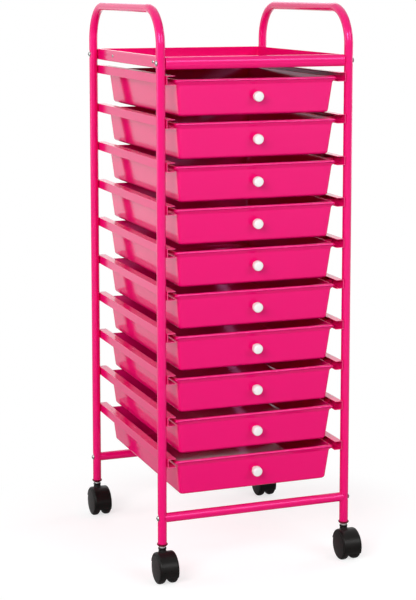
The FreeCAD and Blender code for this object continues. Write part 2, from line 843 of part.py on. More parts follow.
def make_wheel_form(label, side):
    """One of the twin wheels: a rounded tread, a flat face, a hub on the axle and a dished inner side."""
    body = make_form(label)
    section = new_sketch(body, "XY_Plane", y="-caster_trail", offset="wheel_radius")
    near_x = "wheel_gap / 2"
    far_x = "caster_width / 2"
    bore = "axle_diameter / 2 + running_gap"
    bore_end = "axle_half + end_gap"
    dish_x = f"{near_x} + wheel_dish"
    tread, rim = "wheel_radius", "wheel_radius - wheel_edge - wheel_rim"
    points = [
        (near_x, bore),
        (near_x, "wheel_hub"),
        (dish_x, "wheel_hub"),
        (dish_x, rim),
        (near_x, rim),
        (near_x, tread),
        (far_x, tread),
        (far_x, "0"),
        (bore_end, "0"),
        (bore_end, bore),
    ]
    polygon(section, [(f"{side} * ({x})", radius) for x, radius in points])
    turned = revolve(body, section, "H_Axis")
    round_edges(body, turned, "wheel_edge", lambda box: near(box.YLength, "wheel_diameter"))
    return body


def make_casters():
    """Four equal casters under the posts, their wheels trailing to the front."""
    hood, axle = make_hood_form(), make_axle_form()
    wheels = {"left": make_wheel_form("left_wheel_form", -1), "right": make_wheel_form("right_wheel_form", 1)}
    corners = (
        ("front_left", "-post_x", "front_plane"),
        ("front_right", "post_x", "front_plane"),
        ("rear_left", "-post_x", "rear_plane"),
        ("rear_right", "post_x", "rear_plane"),
    )
    for corner, x, y in corners:
        place(copy_of(hood, f"caster_hood_{corner}"), x, y)
        place(copy_of(axle, f"caster_axle_{corner}"), x, y)
        for side, form in wheels.items():
            place(copy_of(form, f"caster_wheel_{corner}_{side}"), x, y)


def check_and_write():
    """Stops on any failed object or shape, then writes one file for each sub-part."""
    doc.recompute()
    for item in doc.Objects:
        if {"Invalid", "Error"} & set(item.State):
            raise ValueError(f"{item.Label} failed: {item.State}")
    for item in finished:
        if item.Shape.isNull() or not item.Shape.isValid():
            raise ValueError(f"{item.Label} has no valid shape")
    os.makedirs("parts", exist_ok=True)
    for item in finished:
        item.Shape.exportStep(f"parts/{item.Label}.step")
    print(len(finished), "sub-parts written")


make_arch_tubes()
make_rails()
make_cross_bars()
make_sleeves("bar_inserts", "bar_insert", "bar_height")
make_sleeves("tray_inserts", "tray_insert", "tray_middle")
make_bolts()
make_tray()
make_rivets()
make_sockets()
make_stems()
make_drawers()
make_casters()
check_and_write()
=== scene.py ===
import json
import math

import bmesh
import bpy
import numpy as np
from bpy.props import FloatProperty, FloatVectorProperty, PointerProperty
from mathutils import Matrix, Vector

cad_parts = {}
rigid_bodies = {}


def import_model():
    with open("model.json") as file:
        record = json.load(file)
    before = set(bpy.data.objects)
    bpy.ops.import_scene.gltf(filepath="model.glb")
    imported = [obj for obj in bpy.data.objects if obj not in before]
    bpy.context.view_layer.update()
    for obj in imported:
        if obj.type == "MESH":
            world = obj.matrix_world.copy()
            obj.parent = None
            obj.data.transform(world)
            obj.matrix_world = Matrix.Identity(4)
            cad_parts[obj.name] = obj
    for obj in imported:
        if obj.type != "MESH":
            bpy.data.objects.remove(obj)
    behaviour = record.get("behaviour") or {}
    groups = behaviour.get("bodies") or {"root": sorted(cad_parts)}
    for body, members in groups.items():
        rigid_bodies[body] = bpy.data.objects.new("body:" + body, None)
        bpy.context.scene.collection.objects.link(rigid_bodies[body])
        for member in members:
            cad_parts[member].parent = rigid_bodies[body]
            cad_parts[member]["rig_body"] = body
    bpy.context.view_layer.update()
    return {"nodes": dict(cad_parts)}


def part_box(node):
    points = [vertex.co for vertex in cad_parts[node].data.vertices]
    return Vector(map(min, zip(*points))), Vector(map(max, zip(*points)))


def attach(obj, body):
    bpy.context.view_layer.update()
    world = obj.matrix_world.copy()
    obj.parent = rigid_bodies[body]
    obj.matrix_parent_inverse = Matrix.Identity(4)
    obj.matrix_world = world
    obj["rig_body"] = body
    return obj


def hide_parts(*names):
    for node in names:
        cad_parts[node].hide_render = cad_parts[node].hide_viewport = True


bl_info = {
    "name": "Rolling drawer cart",
    "version": (1, 0, 0),
    "blender": (4, 5, 0),
    "location": "View3D > Sidebar > Drawer cart",
    "description": "Builds the pieces, finishes and stage of a rolling cart with ten drawers",
    "category": "Object",
}

# The frame, loaded once, and what it says about the cart
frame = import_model()

DRAWERS = sorted(name[-2:] for name in frame["nodes"] if name.startswith("drawer_tub_"))
CORNERS = ("front_left", "front_right", "rear_left", "rear_right")
# The two sides, with the way along X that each faces
SIDES = {"left": -1.0, "right": 1.0}

# A point this far outside each end of an arc keeps the shading of the flat part beside it flat
HOLD = 0.0003
# Radius of the flat tip in the middle of a turned piece
TIP = 0.0002
# Surfaces that would lie in one plane are kept this far apart
CLEAR = 0.0001
# Radius of an edge that looks sharp, and of one that is just broken
SHARP = 0.0001
BROKEN = 0.0004
# Faces that meet at more than this angle are shaded with a hard edge
HARD_EDGE = math.radians(38)


def length(name, default, description):
    """A size in metres."""
    return FloatProperty(
        name=name, description=description, default=default, unit="LENGTH", subtype="DISTANCE", precision=4
    )


def angle(name, degrees, description):
    """An angle, shown in degrees."""
    return FloatProperty(
        name=name, description=description, default=math.radians(degrees), unit="ROTATION", subtype="ANGLE"
    )


def colour(name, default, description):
    """A linear colour."""
    return FloatVectorProperty(
        name=name, description=description, default=(*default, 1.0), size=4, subtype="COLOR", min=0.0, max=1.0
    )


def share(name, default, description):
    """A plain number from 0 upwards."""
    return FloatProperty(name=name, description=description, default=default, min=0.0, subtype="FACTOR")


def power(name, default, description):
    """A lamp's power in watts."""
    return FloatProperty(name=name, description=description, default=default, unit="POWER")


class CartFrameSizes(bpy.types.PropertyGroup):
    """Sizes of the tubes, the tray and their fasteners"""

    bend_radius: length("Handle bend", 0.060, "Radius of the handles' corners on the tube's centre line")
    bar_wall: length("Bar wall", 0.0012, "Wall of the cross bars")
    cope_setback: length("Cope setback", 0.003, "From a post's centre to the end of a cross bar's lips")
    tray_side_wall: length("Tray side wall", 0.004, "Width of the tray's rim along the handles")
    tray_end_wall: length("Tray end wall", 0.010, "Width of the tray's boxed front and rear walls")
    tray_floor: length("Tray floor", 0.0012, "Thickness of the tray's floor")
    tray_corner: length("Tray corner", 0.0016, "Radius of the tray's upright corners")
    tray_edge: length("Tray edge", 0.0014, "How far the tray's side walls draw in at their edges")
    tray_roll: length("Tray roll", 0.0042, "How far the tray's rolled ends draw in at their edges")
    rivet_front: length("Front rivet", 0.058, "From the front posts to the tray's front rivets")
    rivet_rear: length("Rear rivet", 0.090, "From the tray's rear rivets to the rear posts")
    rivet_head: length("Rivet head", 0.006, "Diameter of a rivet's head")
    rivet_height: length("Rivet height", 0.0012, "Height of a rivet's head")
    rivet_hole: length("Rivet hole", 0.0030, "Diameter of the hole that a rivet's pin leaves")
    bolt_head: length("Bolt head", 0.0088, "Diameter of a bolt's dome head")
    bolt_height: length("Bolt height", 0.0026, "Height of a bolt's dome head")
    bolt_key: length("Bolt key", 0.0034, "Width across the flats of a bolt's socket")
    dimple_depth: length("Dimple depth", 0.0006, "How far the posts are pressed in under the bolts' heads")
    dimple_flat: length("Dimple flat", 0.0046, "Radius of a dimple's flat")
    dimple_edge: length("Dimple edge", 0.0080, "Radius at which a dimple ends")


class CartDrawerSizes(bpy.types.PropertyGroup):
    """Sizes of the drawers and their knobs"""

    draft: angle("Draft", 6.4, "Slope of the tub's walls")
    wall: length("Wall", 0.0016, "Thickness of the tub's walls")
    floor: length("Floor", 0.0018, "Thickness of the tub's floor")
    corner: length("Corner", 0.005, "Radius of the tub's upright corners")
    foot_round: length("Foot round", 0.005, "Radius along the tub's lower edge")
    rim: length("Rim", 0.0018, "Thickness of the rim, the lip and the runners")
    rim_back: length("Rim at the back", 0.006, "The rim past the rear wall")
    lip_side: length("Lip at the sides", 0.0039, "The lip past the side walls")
    lip_reach: length("Lip at the front", 0.0046, "From the front of the box to the front wall's top edge")
    lip_stand: length("Lip stand", 0.0024, "How far the lip stands out ahead of the front wall")
    lip_height: length("Lip height", 0.0054, "Height of the lip's face")
    lip_corner: length("Lip corner", 0.0035, "Radius of the lip's front corners")
    lip_round: length("Lip round", 0.0036, "Radius along the lip's upper edge")
    lip_ease: length("Lip ease", 0.0030, "How far below the lip its underside runs into the wall")
    runner_setback: length("Runner setback", 0.040, "From the front of the box to where the runners begin")
    runner_reach: length("Runner reach", 0.01585, "The runner's outer face past the side wall")
    runner_height: length("Runner height", 0.0068, "Height of the runner's outer face")
    knob_drop: length("Knob drop", 0.0273, "The knob's centre below the rim")
    knob_head: length("Knob diameter", 0.0162, "Diameter of the knob's head")
    knob_height: length("Knob height", 0.016, "The knob's front ahead of the wall")
    knob_neck: length("Knob neck", 0.009, "Diameter of the knob's neck")
    neck_height: length("Neck height", 0.0065, "From the wall to the back of the knob's head")


class CartCasterSizes(bpy.types.PropertyGroup):
    """Sizes of the casters and their fittings"""

    wheel_edge: length("Tread round", 0.0040, "Radius along the outer edge of a wheel's tread")
    wheel_inner_edge: length("Inner tread round", 0.0066, "Radius along the inner edge of a wheel's tread")
    wheel_rim: length("Wheel rim", 0.0035, "Width of a wheel's rim on its inner side")
    face_crown: length("Face crown", 0.0007, "Height of the crown of a wheel's outer face")
    hub: length("Hub", 0.0075, "Radius of a wheel's hub on its inner side")
    hub_dish: length("Hub dish", 0.0026, "Depth of the hollow around that hub")
    guard_wall: length("Guard wall", 0.0015, "Thickness of the hood's guard")
    guard_shoulder: length("Guard shoulder", 0.0036, "Radius along both edges of the guard")
    guard_inset: length("Guard inset", 0.0010, "The guard's sides inside the wheels' outer faces")
    guard_feather: share("Guard feather", 0.15, "Share of its height off the wheels left at the guard's ends")
    guard_clear: length("Guard clearance", 0.0004, "Least gap between the guard and the wheels")
    guard_skirt: length("Guard skirt", 0.0033, "The guard's side edges below its crown")
    guard_drop: length("Guard drop", 0.011, "The guard's front edge below the axle")
    guard_rise: length("Guard rise", 0.007, "The guard's rear edge above the axle")
    web: length("Web", 0.0046, "Thickness of the web between the wheels")
    web_drop: length("Web drop", 0.008, "The web's lowest point below the axle")
    collar: length("Collar", 0.0060, "Radius of the hood's collar around the stem")
    collar_flare: length("Collar flare", 0.0012, "How far the collar widens towards the guard")
    collar_sink: length("Collar sink", 0.0006, "The collar's top edge below the hood's highest point")
    collar_rim: length("Collar rim", 0.0007, "How far the collar's top edge stands out")
    stem: length("Stem", 0.004, "Radius of a stem")
    shoulder: length("Shoulder", 0.005, "Radius of a stem's shoulder")
    shoulder_height: length("Shoulder height", 0.0018, "Height of a stem's shoulder")
    flange: length("Flange height", 0.004, "Height of a socket's flange under the post")


class CartFinishes(bpy.types.PropertyGroup):
    """Colours of the cart's finishes"""

    paint: colour("Frame paint", (0.80, 0.002, 0.148), "Powder coat on the tubes, the rails and the tray")
    paint_shade: colour("Frame paint shade", (0.76, 0.002, 0.135), "Deeper patches of the powder coat")
    plastic: colour("Drawer plastic", (0.80, 0.002, 0.148), "Moulded plastic of the drawers")
    plastic_shade: colour("Drawer shade", (0.77, 0.002, 0.138), "Deeper patches of the plastic")
    gloss: colour("Pink gloss", (1.0, 0.35, 0.90), "Tint of straight reflections on paint and plastic")
    knob: colour("Knob plastic", (0.85, 0.84, 0.84), "White plastic of the knobs")
    knob_shade: colour("Knob shade", (0.81, 0.79, 0.78), "Slightly yellower patches of the knobs")
    caster: colour("Caster plastic", (0.008, 0.007, 0.0065), "Black plastic of the hoods")
    wheel: colour("Wheel plastic", (0.009, 0.0075, 0.007), "Black plastic of the wheels")
    scuff: colour("Tread scuff", (0.040, 0.036, 0.034), "Grey rub marks on the treads")
    socket: colour("Socket plastic", (0.16, 0.004, 0.022), "Dark red plastic of the caster sockets")
    zinc: colour("Zinc", (0.34, 0.335, 0.33), "Zinc plate of the bolts, rivets and screws")
    nickel: colour("Nickel", (0.92, 0.92, 0.91), "Satin plate of the caster stems")
    bare_edge: colour("Sheared edge", (0.86, 0.11, 0.29), "Thin paint on the sheared ends of the rails")
    dust: colour("Dust", (0.80, 0.62, 0.64), "Dust on surfaces that face up")


class CartStage(bpy.types.PropertyGroup):
    """The camera, the lamps and the floor"""

    camera_place: FloatVectorProperty(
        name="Camera",
        description="Where the camera stands",
        default=(-0.9654, -2.5297, 0.9438),
        size=3,
        unit="LENGTH",
        subtype="TRANSLATION",
    )
    camera_turn: angle("Turn", 20.510, "The camera's turn from straight ahead to the right")
    camera_dip: angle("Dip", 7.297, "The camera's tilt down")
    lens: FloatProperty(name="Lens", description="Focal length", default=97.476, unit="CAMERA")
    shift: FloatProperty(name="Shift", description="Vertical shift of the lens", default=-0.180)
    sky_light: share("Sky", 0.10, "Even light from all around on matt surfaces")
    sky_gloss: share("Sky gloss", 1.3, "Brightness all around as glossy surfaces see it")
    right_dim: share("Right dim", 0.75, "How much of that brightness is missing at the right")
    key_power: power("Key", 140.0, "Lamp at the front left")
    fill_power: power("Fill", 68.0, "Lamp at the front right")
    left_power: power("Left", 17.0, "Lamp at the left")
    right_power: power("Right", 19.0, "Lamp at the right")
    back_power: power("Back", 9.0, "Lamp behind the cart")
    top_power: power("Top", 4.0, "Lamp above the cart")
    floor: colour("Floor", (0.80, 0.80, 0.80), "The floor as it lights the cart")
    floor_glow: share("Floor glow", 0.68, "How much of the floor's white doesn't take shadows")
    floor_shade: share("Floor shade", 0.48, "How much of the lamps' light the floor shows")
    floor_gloss: share("Floor gloss", 0.06, "Brightness under the cart as glossy surfaces see it")
    floor_fade: share("Floor fade", 0.35, "How fast that brightness grows outwards, for each metre")
    floor_far: share("Far floor gloss", 1.02, "The most that it grows to")


# Lines, rings and shells


def unit(vector):
    """A vector of length 1."""
    return vector / np.linalg.norm(vector)


def unit_rows(rows):
    """Each row of an array as a vector of length 1."""
    return rows / np.linalg.norm(rows, axis=1)[:, None]


def evenly_round(columns):
    """Angles spaced evenly round a circle."""
    return np.arange(columns) * 2 * math.pi / columns


def span(node):
    """A node's lowest and highest corners."""
    low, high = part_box(node)
    return np.array(low), np.array(high)


def rounded(corners, steps=6, closed=False):
    """A line through corners given as (across, up, radius), with an arc in place of each corner.

    An arc of radius r touches both lines r / tan(h) from the corner, where h is half the angle between them.
    Its points turn evenly from one touching point to the other about a centre r / sin(h) along the bisector.
    """
    corners = np.asarray(corners, float)
    if closed:
        corners = np.concatenate([corners[-1:], corners, corners[:1]])
    part = np.linspace(0.0, 1.0, steps + 1)[:, None]
    pieces = [] if closed else [corners[:1, :2]]
    for before, corner, after in zip(corners[:-2], corners[1:-1], corners[2:]):
        place, radius = corner[:2], corner[2]
        back, ahead = unit(before[:2] - place), unit(after[:2] - place)
        half = math.acos(np.clip(back @ ahead, -1.0, 1.0)) / 2
        turn = math.pi - 2 * half
        reach = radius / math.tan(half)
        centre = place + unit(back + ahead) * radius / math.sin(half)
        start, end = place + back * reach - centre, place + ahead * reach - centre
        arc = centre + (start * np.sin((1 - part) * turn) + end * np.sin(part * turn)) / math.sin(turn)
        pieces += [arc[:1] + back * HOLD, arc, arc[-1:] + ahead * HOLD]
    if not closed:
        pieces.append(corners[-1:, :2])
    return np.concatenate(pieces)


def closed_shell(rings):
    """A closed shell over a stack of rings, an array of rows by columns by 3.

    Each point joins its neighbours in its own ring and in the next one as a quad, and the first and the last
    ring are each capped by one face.
    """
    rows, columns = rings.shape[:2]
    index = np.arange(rows * columns).reshape(rows, columns)
    ahead = np.roll(index, -1, axis=1)
    quads = np.stack([index[:-1], ahead[:-1], ahead[1:], index[1:]], axis=-1).reshape(-1, 4)
    return rings.reshape(-1, 3), quads, (index[0, ::-1], index[-1])


def outline_rings(half_x, front, back, corner, height, steps=7):
    """One rounded rectangle for each entry of the arrays, as rings.

    Each corner is a quarter circle about a point one corner radius inside both sides, with a further point
    slid a little way out along the side at each of its ends.
    """
    count = steps + 2
    part = np.concatenate([[0.0], np.linspace(0.0, 1.0, steps), [1.0]])
    slide = np.tile(np.concatenate([[-HOLD], np.zeros(steps), [HOLD]]), 4)
    turn = ((np.arange(4)[:, None] + part) * math.pi / 2).ravel()
    side = np.repeat([1.0, -1.0, -1.0, 1.0], count)
    end = np.repeat([1.0, 1.0, -1.0, -1.0], count)
    x = np.outer(half_x - corner, side) + np.outer(corner, np.cos(turn)) - slide * np.sin(turn)
    y = np.outer((back - front) / 2 - corner, end) + np.outer(corner, np.sin(turn)) + slide * np.cos(turn)
    y = y + ((front + back) / 2)[:, None]
    return np.stack([x, y, np.broadcast_to(height[:, None], x.shape)], axis=-1)


def spokes_about(axis, columns):
    """An axis of length 1, and unit vectors square to it and evenly turned about it.

    A spoke is cos(a) times one direction square to the axis plus sin(a) times the other.
    """
    axis = unit(np.asarray(axis, float))
    aside = unit(np.cross(axis, np.roll(axis, 1)))
    across = np.cross(axis, aside)
    turn = evenly_round(columns)
    return axis, np.outer(np.cos(turn), aside) + np.outer(np.sin(turn), across)


def turned(profile, centre, axis, columns=48):
    """A profile of (radius, height) points carried round an axis: centre + height * axis + radius * spoke."""
    axis, spokes = spokes_about(axis, columns)
    radius, height = np.asarray(profile, float).T
    return closed_shell(np.asarray(centre) + height[:, None, None] * axis + radius[:, None, None] * spokes)


def carried(section, axis, start, end):
    """A flat section carried straight along X (axis 0) or Y (axis 1), from a start to an end."""
    return closed_shell(np.stack([np.insert(section, axis, place, axis=1) for place in (start, end)]))


def build_piece(name, shells):
    """One object at the origin from closed shells, with outward faces."""
    starts = np.cumsum([0] + [len(points) for points, quads, caps in shells])
    points = np.concatenate([points for points, quads, caps in shells])
    faces = []
    for (_, quads, caps), start in zip(shells, starts):
        faces += (quads + start).tolist()
        faces += [(cap + start).tolist() for cap in caps]
    mesh = bpy.data.meshes.new(name)
    mesh.from_pydata(points.tolist(), [], faces)
    work = bmesh.new()
    work.from_mesh(mesh)
    bmesh.ops.recalc_face_normals(work, faces=work.faces)
    work.to_mesh(mesh)
    work.free()
    mesh.shade_smooth()
    mesh.set_sharp_from_angle(angle=HARD_EDGE)
    piece = bpy.data.objects.new(name, mesh)
    bpy.context.scene.collection.objects.link(piece)
    return piece


def place_piece(name, shells, node, finish):
    """Builds a piece in a node's place: it rides on the node's body and takes the finish it is given."""
    piece = build_piece(name, shells)
    piece.data.materials.append(finish_of(finish))
    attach(piece, frame["nodes"][node]["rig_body"])
    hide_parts(node)
    return piece


# Places that several pieces share


def posts():
    """The posts' tube radius and half span, and the heights and planes that their tubes reach."""
    low, high = span("right_arch_tube")
    radius = (high[0] - low[0]) / 2
    return {
        "radius": radius,
        "x": (low[0] + high[0]) / 2,
        "front": low[1] + radius,
        "rear": high[1] - radius,
        "foot": low[2],
        "crown": high[2] - radius,
    }


def post_places():
    """The four posts' axes as (x, y), by corner."""
    tube = posts()
    ends = {corner: corner.split("_") for corner in CORNERS}
    return {corner: (tube["x"] * SIDES[side], tube[end]) for corner, (end, side) in ends.items()}


def bolt_heights():
    """The heights of the bolts through the posts: the cross bars' axis and the middle of the tray."""
    return [(sum(span(node)) / 2)[2] for node in ("front_cross_bar", "top_tray")]


# Shader node helpers


def add(tree, kind, inputs=(), **settings):
    """A shader node with its settings, and each input either linked from a socket or set."""
    node = tree.nodes.new(f"ShaderNode{kind}")
    for name, setting in settings.items():
        setattr(node, name, setting)
    for name, source in dict(inputs).items():
        if isinstance(source, bpy.types.NodeSocket):
            tree.links.new(source, node.inputs[name])
        else:
            node.inputs[name].default_value = source
    return node


def join(tree, sources, inputs):
    """Links each source to the input of its name."""
    for label, source in sources.items():
        tree.links.new(source, inputs[label])


def calculated(tree, operation, first, second=0.0):
    """A number from one or two numbers."""
    return add(tree, "Math", {0: first, 1: second}, operation=operation).outputs[0]


def times(tree, first, second):
    """Two numbers multiplied."""
    return calculated(tree, "MULTIPLY", first, second)


def plus(tree, first, second):
    """Two numbers added."""
    return calculated(tree, "ADD", first, second)


def mixed(tree, factor, first, second):
    """A colour between two colours."""
    return add(tree, "Mix", {0: factor, 6: first, 7: second}, data_type="RGBA").outputs[2]


def eased(tree, source, low, high):
    """0 below low, 1 above high, and a smooth step between them."""
    inputs = {"Value": source, "From Min": low, "From Max": high}
    return add(tree, "MapRange", inputs, interpolation_type="SMOOTHSTEP").outputs["Result"]


def noise(tree, vector, scale, detail):
    """Cloudy noise from 0 to 1."""
    return add(tree, "TexNoise", {"Vector": vector, "Scale": scale, "Detail": detail}).outputs["Fac"]


def object_place(tree):
    """A point's place on its object."""
    return add(tree, "TexCoord").outputs["Object"]


def parts_of(tree, vector):
    """The X, Y and Z of a vector."""
    return add(tree, "SeparateXYZ", {"Vector": vector}).outputs


def new_group(name, inputs, outputs):
    """An empty shader node group with its sockets, and its input and output nodes.

    An input's kind follows from its default, which is one number, three or four.
    """
    group = bpy.data.node_groups.new(name, "ShaderNodeTree")
    kinds = {1: "Float", 3: "Vector", 4: "Color"}
    for label, default in inputs.items():
        kind = kinds[np.size(default)]
        socket = group.interface.new_socket(name=label, in_out="INPUT", socket_type=f"NodeSocket{kind}")
        socket.default_value = default
    for label, kind in outputs.items():
        group.interface.new_socket(name=label, in_out="OUTPUT", socket_type=f"NodeSocket{kind}")
    return group, group.nodes.new("NodeGroupInput").outputs, group.nodes.new("NodeGroupOutput").inputs


def use_group(tree, builder, inputs):
    """A shared group placed in a material, built at its first use."""
    group = bpy.data.node_groups.get(builder.__name__) or builder()
    return add(tree, "Group", inputs, node_tree=group).outputs


# Shared effects


def cast_variation():
    """Broad patches of a deeper shade, a fine surface grain, and gloss that wanders a little."""
    group, given, result = new_group(
        "cast_variation",
        {
            "Colour": (0.8, 0.8, 0.8, 1.0),
            "Shade": (0.6, 0.6, 0.6, 1.0),
            "Patch Scale": 9.0,
            "Patch Amount": 0.5,
            "Grain Scale": 400.0,
            "Roughness": 0.25,
            "Roughness Spread": 0.1,
        },
        {"Colour": "Color", "Roughness": "Float", "Height": "Float"},
    )
    place = object_place(group)
    patches = eased(group, noise(group, place, given["Patch Scale"], detail=3.0), low=0.35, high=0.70)
    deep = times(group, patches, given["Patch Amount"])
    gloss_scale = times(group, given["Patch Scale"], 5.0)
    wander = calculated(group, "SUBTRACT", noise(group, place, gloss_scale, detail=2.0), 0.5)
    surface = {
        "Colour": mixed(group, deep, given["Colour"], given["Shade"]),
        "Roughness": plus(group, times(group, wander, given["Roughness Spread"]), given["Roughness"]),
        "Height": noise(group, place, given["Grain Scale"], detail=1.5),
    }
    join(group, surface, result)
    return group


def settled_dust():
    """A thin film of dust on faces that look up, thicker in cloudy patches, which also dulls the gloss."""
    group, given, result = new_group(
        "settled_dust",
        {
            "Colour": (0.8, 0.8, 0.8, 1.0),
            "Dust Colour": (0.7, 0.7, 0.7, 1.0),
            "Roughness": 0.25,
            "Amount": 0.2,
            "Scale": 14.0,
        },
        {"Colour": "Color", "Roughness": "Float"},
    )
    upward = parts_of(group, add(group, "NewGeometry").outputs["Normal"])["Z"]
    facing = eased(group, upward, low=0.75, high=0.98)
    clouds = eased(group, noise(group, object_place(group), given["Scale"], detail=5.0), low=0.30, high=0.75)
    film = times(group, times(group, facing, clouds), given["Amount"])
    surface = {
        "Colour": mixed(group, film, given["Colour"], given["Dust Colour"]),
        "Roughness": plus(group, times(group, film, 0.5), given["Roughness"]),
    }
    join(group, surface, result)
    return group


def rub_marks():
    """Short streaks where something has rubbed, as a mask from stretched noise broken up by a second one."""
    group, given, result = new_group(
        "rub_marks", {"Stretch": (1.0, 1.0, 1.0), "Scale": 60.0, "Density": 0.4}, {"Mask": "Float"}
    )
    place = object_place(group)
    stretched = add(group, "VectorMath", {0: place, 1: given["Stretch"]}, operation="MULTIPLY").outputs[0]
    # Noise above a level shows as a streak; density lowers the level, and the edge is a little soft
    level, lowered, soft = 0.72, 0.3, 0.12
    low = calculated(group, "SUBTRACT", level, times(group, given["Density"], lowered))
    high = plus(group, low, soft)
    streaks = eased(group, noise(group, stretched, given["Scale"], detail=4.0), low, high)
    broken = eased(group, noise(group, place, scale=22.0, detail=2.0), low=0.42, high=0.62)
    join(group, {"Mask": times(group, streaks, broken)}, result)
    return group


# Finishes


class Finish:
    """A material under way, with the colour, the roughness and the relief that its surface has so far."""

    def __init__(self, name, **fixed):
        """A Principled shader; numbers that are the same all over are set on its sockets."""
        self.material = bpy.data.materials.new(name)
        self.material.use_nodes = True
        self.tree = self.material.node_tree
        self.inputs = self.tree.nodes["Principled BSDF"].inputs
        for label, number in fixed.items():
            self.inputs[label.replace("_", " ")].default_value = number

    def cast(self, tone, shade, patches, grain, gloss):
        """A varied surface; patches are (scale, amount), grain a scale and gloss (roughness, spread)."""
        inputs = {
            "Colour": tone,
            "Shade": shade,
            "Patch Scale": patches[0],
            "Patch Amount": patches[1],
            "Grain Scale": grain,
            "Roughness": gloss[0],
            "Roughness Spread": gloss[1],
        }
        surface = use_group(self.tree, cast_variation, inputs)
        self.tone, self.rough, self.relief = surface["Colour"], surface["Roughness"], surface["Height"]

    def rubbed(self, stretch, scale, density):
        """A mask of rub marks."""
        inputs = {"Stretch": stretch, "Scale": scale, "Density": density}
        return use_group(self.tree, rub_marks, inputs)["Mask"]

    def stain(self, mask, tone, amount):
        """Takes on a colour where the mask is set."""
        self.tone = mixed(self.tree, times(self.tree, mask, amount), self.tone, tone)

    def dull(self, mask, amount):
        """Grows rougher where the mask is set."""
        self.rough = plus(self.tree, self.rough, times(self.tree, mask, amount))

    def dust(self, tone, amount, scale):
        """Takes on a film of dust."""
        inputs = {
            "Colour": self.tone,
            "Dust Colour": tone,
            "Roughness": self.rough,
            "Amount": amount,
            "Scale": scale,
        }
        film = use_group(self.tree, settled_dust, inputs)
        self.tone, self.rough = film["Colour"], film["Roughness"]

    def done(self, strength, depth):
        """The material, with its relief as a bump of a strength and a depth."""
        inputs = {"Height": self.relief, "Strength": strength, "Distance": depth}
        normal = add(self.tree, "Bump", inputs).outputs["Normal"]
        join(self.tree, {"Base Color": self.tone, "Roughness": self.rough, "Normal": normal}, self.inputs)
        return self.material


def deeper(tone, part):
    """A colour with only a part of its light."""
    return [part * channel for channel in tone[:3]] + [1.0]


def powder_coat(finishes):
    """Glossy pink powder coat with a light orange peel and a trace of dust on top."""
    coat = Finish("powder_coat", IOR=1.50, Specular_Tint=finishes.gloss)
    coat.cast(finishes.paint, finishes.paint_shade, patches=(7.0, 0.5), grain=420.0, gloss=(0.13, 0.06))
    coat.dust(finishes.dust, amount=0.03, scale=16.0)
    return coat.done(strength=0.10, depth=0.0004)


def rail_coat(finishes):
    """The same powder coat on the rails, worn by the runners and thin on the sheared ends."""
    coat = Finish("rail_coat", IOR=1.50, Specular_Tint=finishes.gloss)
    coat.cast(finishes.paint, finishes.paint_shade, patches=(11.0, 0.5), grain=420.0, gloss=(0.18, 0.10))
    tree = coat.tree
    place = parts_of(tree, object_place(tree))
    front = span("left_rails")[0][1]
    thin_depth = 0.0006
    sheared = eased(tree, place["Y"], front + 2 * thin_depth, front + thin_depth)
    coat.stain(sheared, finishes.bare_edge, amount=0.5)
    # Distances from the cart's middle at which the rub marks begin and are full
    unworn, worn = 0.1500, 0.1488
    inside = eased(tree, calculated(tree, "ABSOLUTE", place["X"]), unworn, worn)
    marks = times(tree, coat.rubbed(stretch=(1.0, 0.05, 1.0), scale=300.0, density=0.5), inside)
    coat.stain(marks, finishes.bare_edge, amount=0.35)
    coat.dull(marks, amount=0.25)
    return coat.done(strength=0.10, depth=0.0004)


def moulded_pink(finishes):
    """Moulded pink plastic, smooth and glossy, with faint flow patches, rub marks and dust."""
    pink = Finish("moulded_pink", IOR=1.50, Specular_Tint=finishes.gloss)
    pink.cast(finishes.plastic, finishes.plastic_shade, patches=(5.0, 0.45), grain=900.0, gloss=(0.09, 0.05))
    pink.dull(pink.rubbed(stretch=(1.0, 0.08, 1.0), scale=240.0, density=0.25), amount=0.15)
    pink.dust(finishes.dust, amount=0.03, scale=20.0)
    return pink.done(strength=0.06, depth=0.0002)


def moulded_white(finishes):
    """Glossy white plastic, a shade yellower in patches."""
    white = Finish("moulded_white", IOR=1.46)
    white.cast(finishes.knob, finishes.knob_shade, patches=(60.0, 0.4), grain=1200.0, gloss=(0.18, 0.10))
    return white.done(strength=0.05, depth=0.0002)


def plated(name, tone, gloss):
    """Plated steel with a fine grain and gloss that wanders."""
    plate = Finish(name, Metallic=1.0)
    plate.cast(tone, deeper(tone, 0.82), patches=(90.0, 0.6), grain=1500.0, gloss=gloss)
    return plate.done(strength=0.08, depth=0.0002)


def zinc_plate(finishes):
    """Bright zinc plate on the bolts, rivets and screws."""
    return plated("zinc_plate", finishes.zinc, gloss=(0.17, 0.12))


def satin_plate(finishes):
    """Satin plate on the caster stems."""
    return plated("satin_plate", finishes.nickel, gloss=(0.42, 0.10))


def spark_texture(name, tone, dust):
    """Moulded plastic with a fine matt texture and a trace of dust on top."""
    moulded = Finish(name, Specular_IOR_Level=0.10)
    moulded.cast(tone, deeper(tone, 0.65), patches=(40.0, 0.6), grain=1400.0, gloss=(0.30, 0.15))
    moulded.dust(dust, amount=0.01, scale=60.0)
    return moulded.done(strength=0.10, depth=0.0003)


def moulded_black(finishes):
    """Black textured plastic of the hoods."""
    return spark_texture("moulded_black", finishes.caster, finishes.dust)


def moulded_dark_red(finishes):
    """Dark red plastic of the sockets under the posts."""
    return spark_texture("moulded_dark_red", finishes.socket, finishes.dust)


